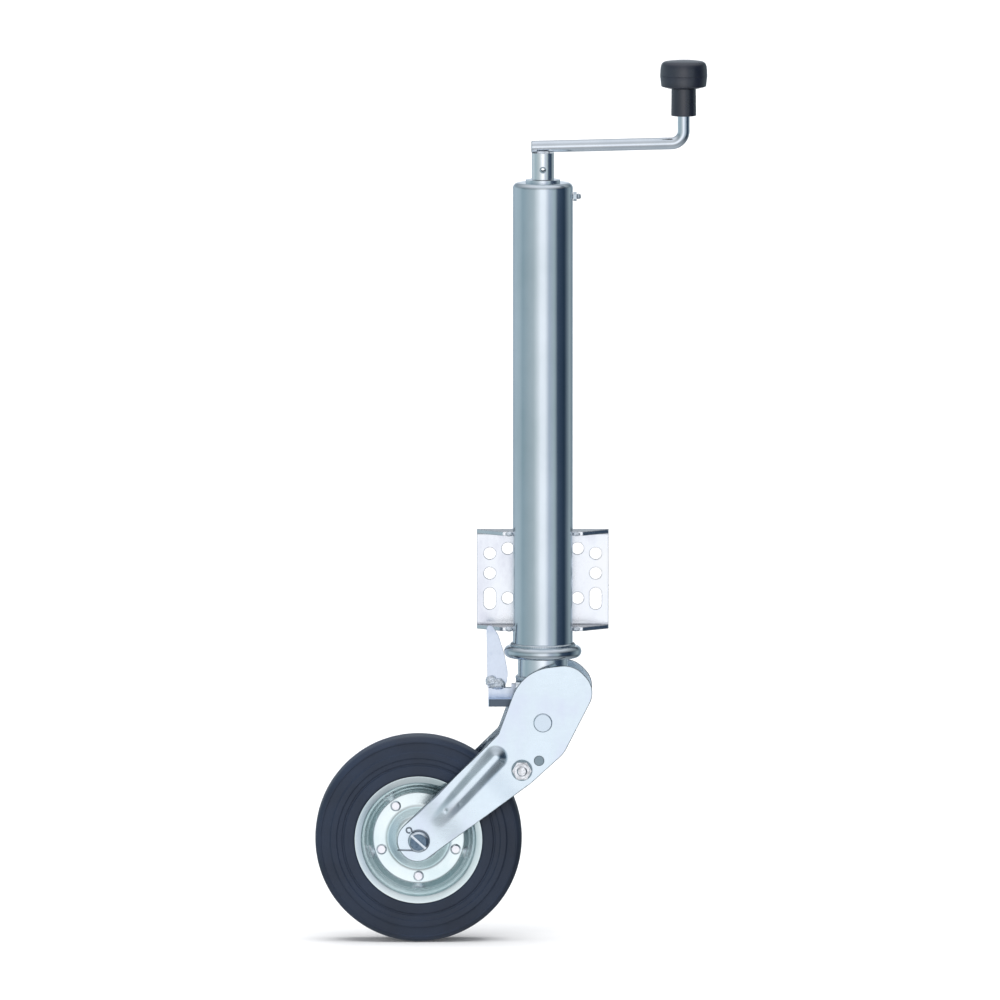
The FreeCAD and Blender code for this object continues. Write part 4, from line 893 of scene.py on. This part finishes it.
# How bright those walls are by height, as the sine of the elevation, and what lies above and below
BANDS = [
    (-1.0, 0.62),
    (-0.75, 0.50),
    (-0.42, 0.46),
    (-0.26, 0.96),
    (0.10, 1.0),
    (0.30, 0.66),
    (0.62, 0.60),
    (0.86, 0.80),
    (1.0, 0.95),
]
ABOVE, BELOW = (0.92, 0.95, 1.0), (0.80, 0.86, 0.92)
EVEN = (0.34, 0.35, 0.37)


def studio():
    """Even light for diffuse surfaces, with light and dark walls round the part that polished metal shows."""
    world = bpy.data.worlds.new("studio")
    bpy.context.scene.world = world
    world.use_nodes = True
    tree = world.node_tree
    tree.nodes.clear()
    out = tree.nodes.new("ShaderNodeOutputWorld")
    where = tree.nodes.new("ShaderNodeTexCoord")
    split = tree.nodes.new("ShaderNodeSeparateXYZ")
    tree.links.new(where.outputs["Generated"], split.inputs["Vector"])
    angle = tree.nodes.new("ShaderNodeMath")
    angle.operation = "ARCTAN2"
    flip = tree.nodes.new("ShaderNodeMath")
    flip.operation = "MULTIPLY"
    flip.inputs[1].default_value = -1
    tree.links.new(split.outputs["Y"], flip.inputs[0])
    tree.links.new(split.outputs["X"], angle.inputs[0])
    tree.links.new(flip.outputs["Value"], angle.inputs[1])
    round_room = spread(tree, angle.outputs["Value"], 0, 1, -math.pi, math.pi)
    walls = ramp(tree, round_room, [(place / 360 + 0.5, colour) for place, colour in WALLS])
    steep = spread(tree, split.outputs["Z"], 0, 1, 0.35, 0.8)
    deep = spread(tree, split.outputs["Z"], 1, 0, -0.9, -0.4)
    blend_up = mix_colours(tree, steep, walls, ABOVE)
    blend_down = mix_colours(tree, deep, blend_up, BELOW)
    height = spread(tree, split.outputs["Z"], 0, 1, -1, 1)
    bands = ramp(tree, height, [(place / 2 + 0.5, (grey, grey, grey)) for place, grey in BANDS])
    glossy = tree.nodes.new("ShaderNodeBackground")
    tree.links.new(multiply_colours(tree, blend_down, bands), glossy.inputs["Color"])
    even = tree.nodes.new("ShaderNodeBackground")
    even.inputs["Color"].default_value = (*EVEN, 1)
    pale = tree.nodes.new("ShaderNodeBackground")
    pale.inputs["Color"].default_value = (1, 1, 1, 1)
    path = tree.nodes.new("ShaderNodeLightPath")
    last = even.outputs["Background"]
    for ray, light in (("Is Glossy Ray", glossy), ("Is Camera Ray", pale)):
        pick = tree.nodes.new("ShaderNodeMixShader")
        tree.links.new(path.outputs[ray], pick.inputs["Fac"])
        tree.links.new(last, pick.inputs[1])
        tree.links.new(light.outputs["Background"], pick.inputs[2])
        last = pick.outputs["Shader"]
    tree.links.new(last, out.inputs["Surface"])


def soft_sky(name, place, width, strength):
    """Even light from a wide patch of sky, which polished metal doesn't show."""
    lamp = bpy.data.lights.new(name, "SUN")
    lamp.angle = math.radians(width)
    lamp.energy = strength
    made = bpy.data.objects.new(name, lamp)
    bpy.context.scene.collection.objects.link(made)
    made.rotation_mode = "QUATERNION"
    made.rotation_quaternion = (-Vector(place)).to_track_quat("-Z", "Y")
    made.visible_glossy = False


floor_sheet()
studio()
soft_sky("top_light", (0.05, -0.1, 1), 60, 2.75)
soft_sky("front_light", (-0.5, -1, 0.16), 40, 1.6)
bpy.context.scene.view_settings.view_transform = "Standard"
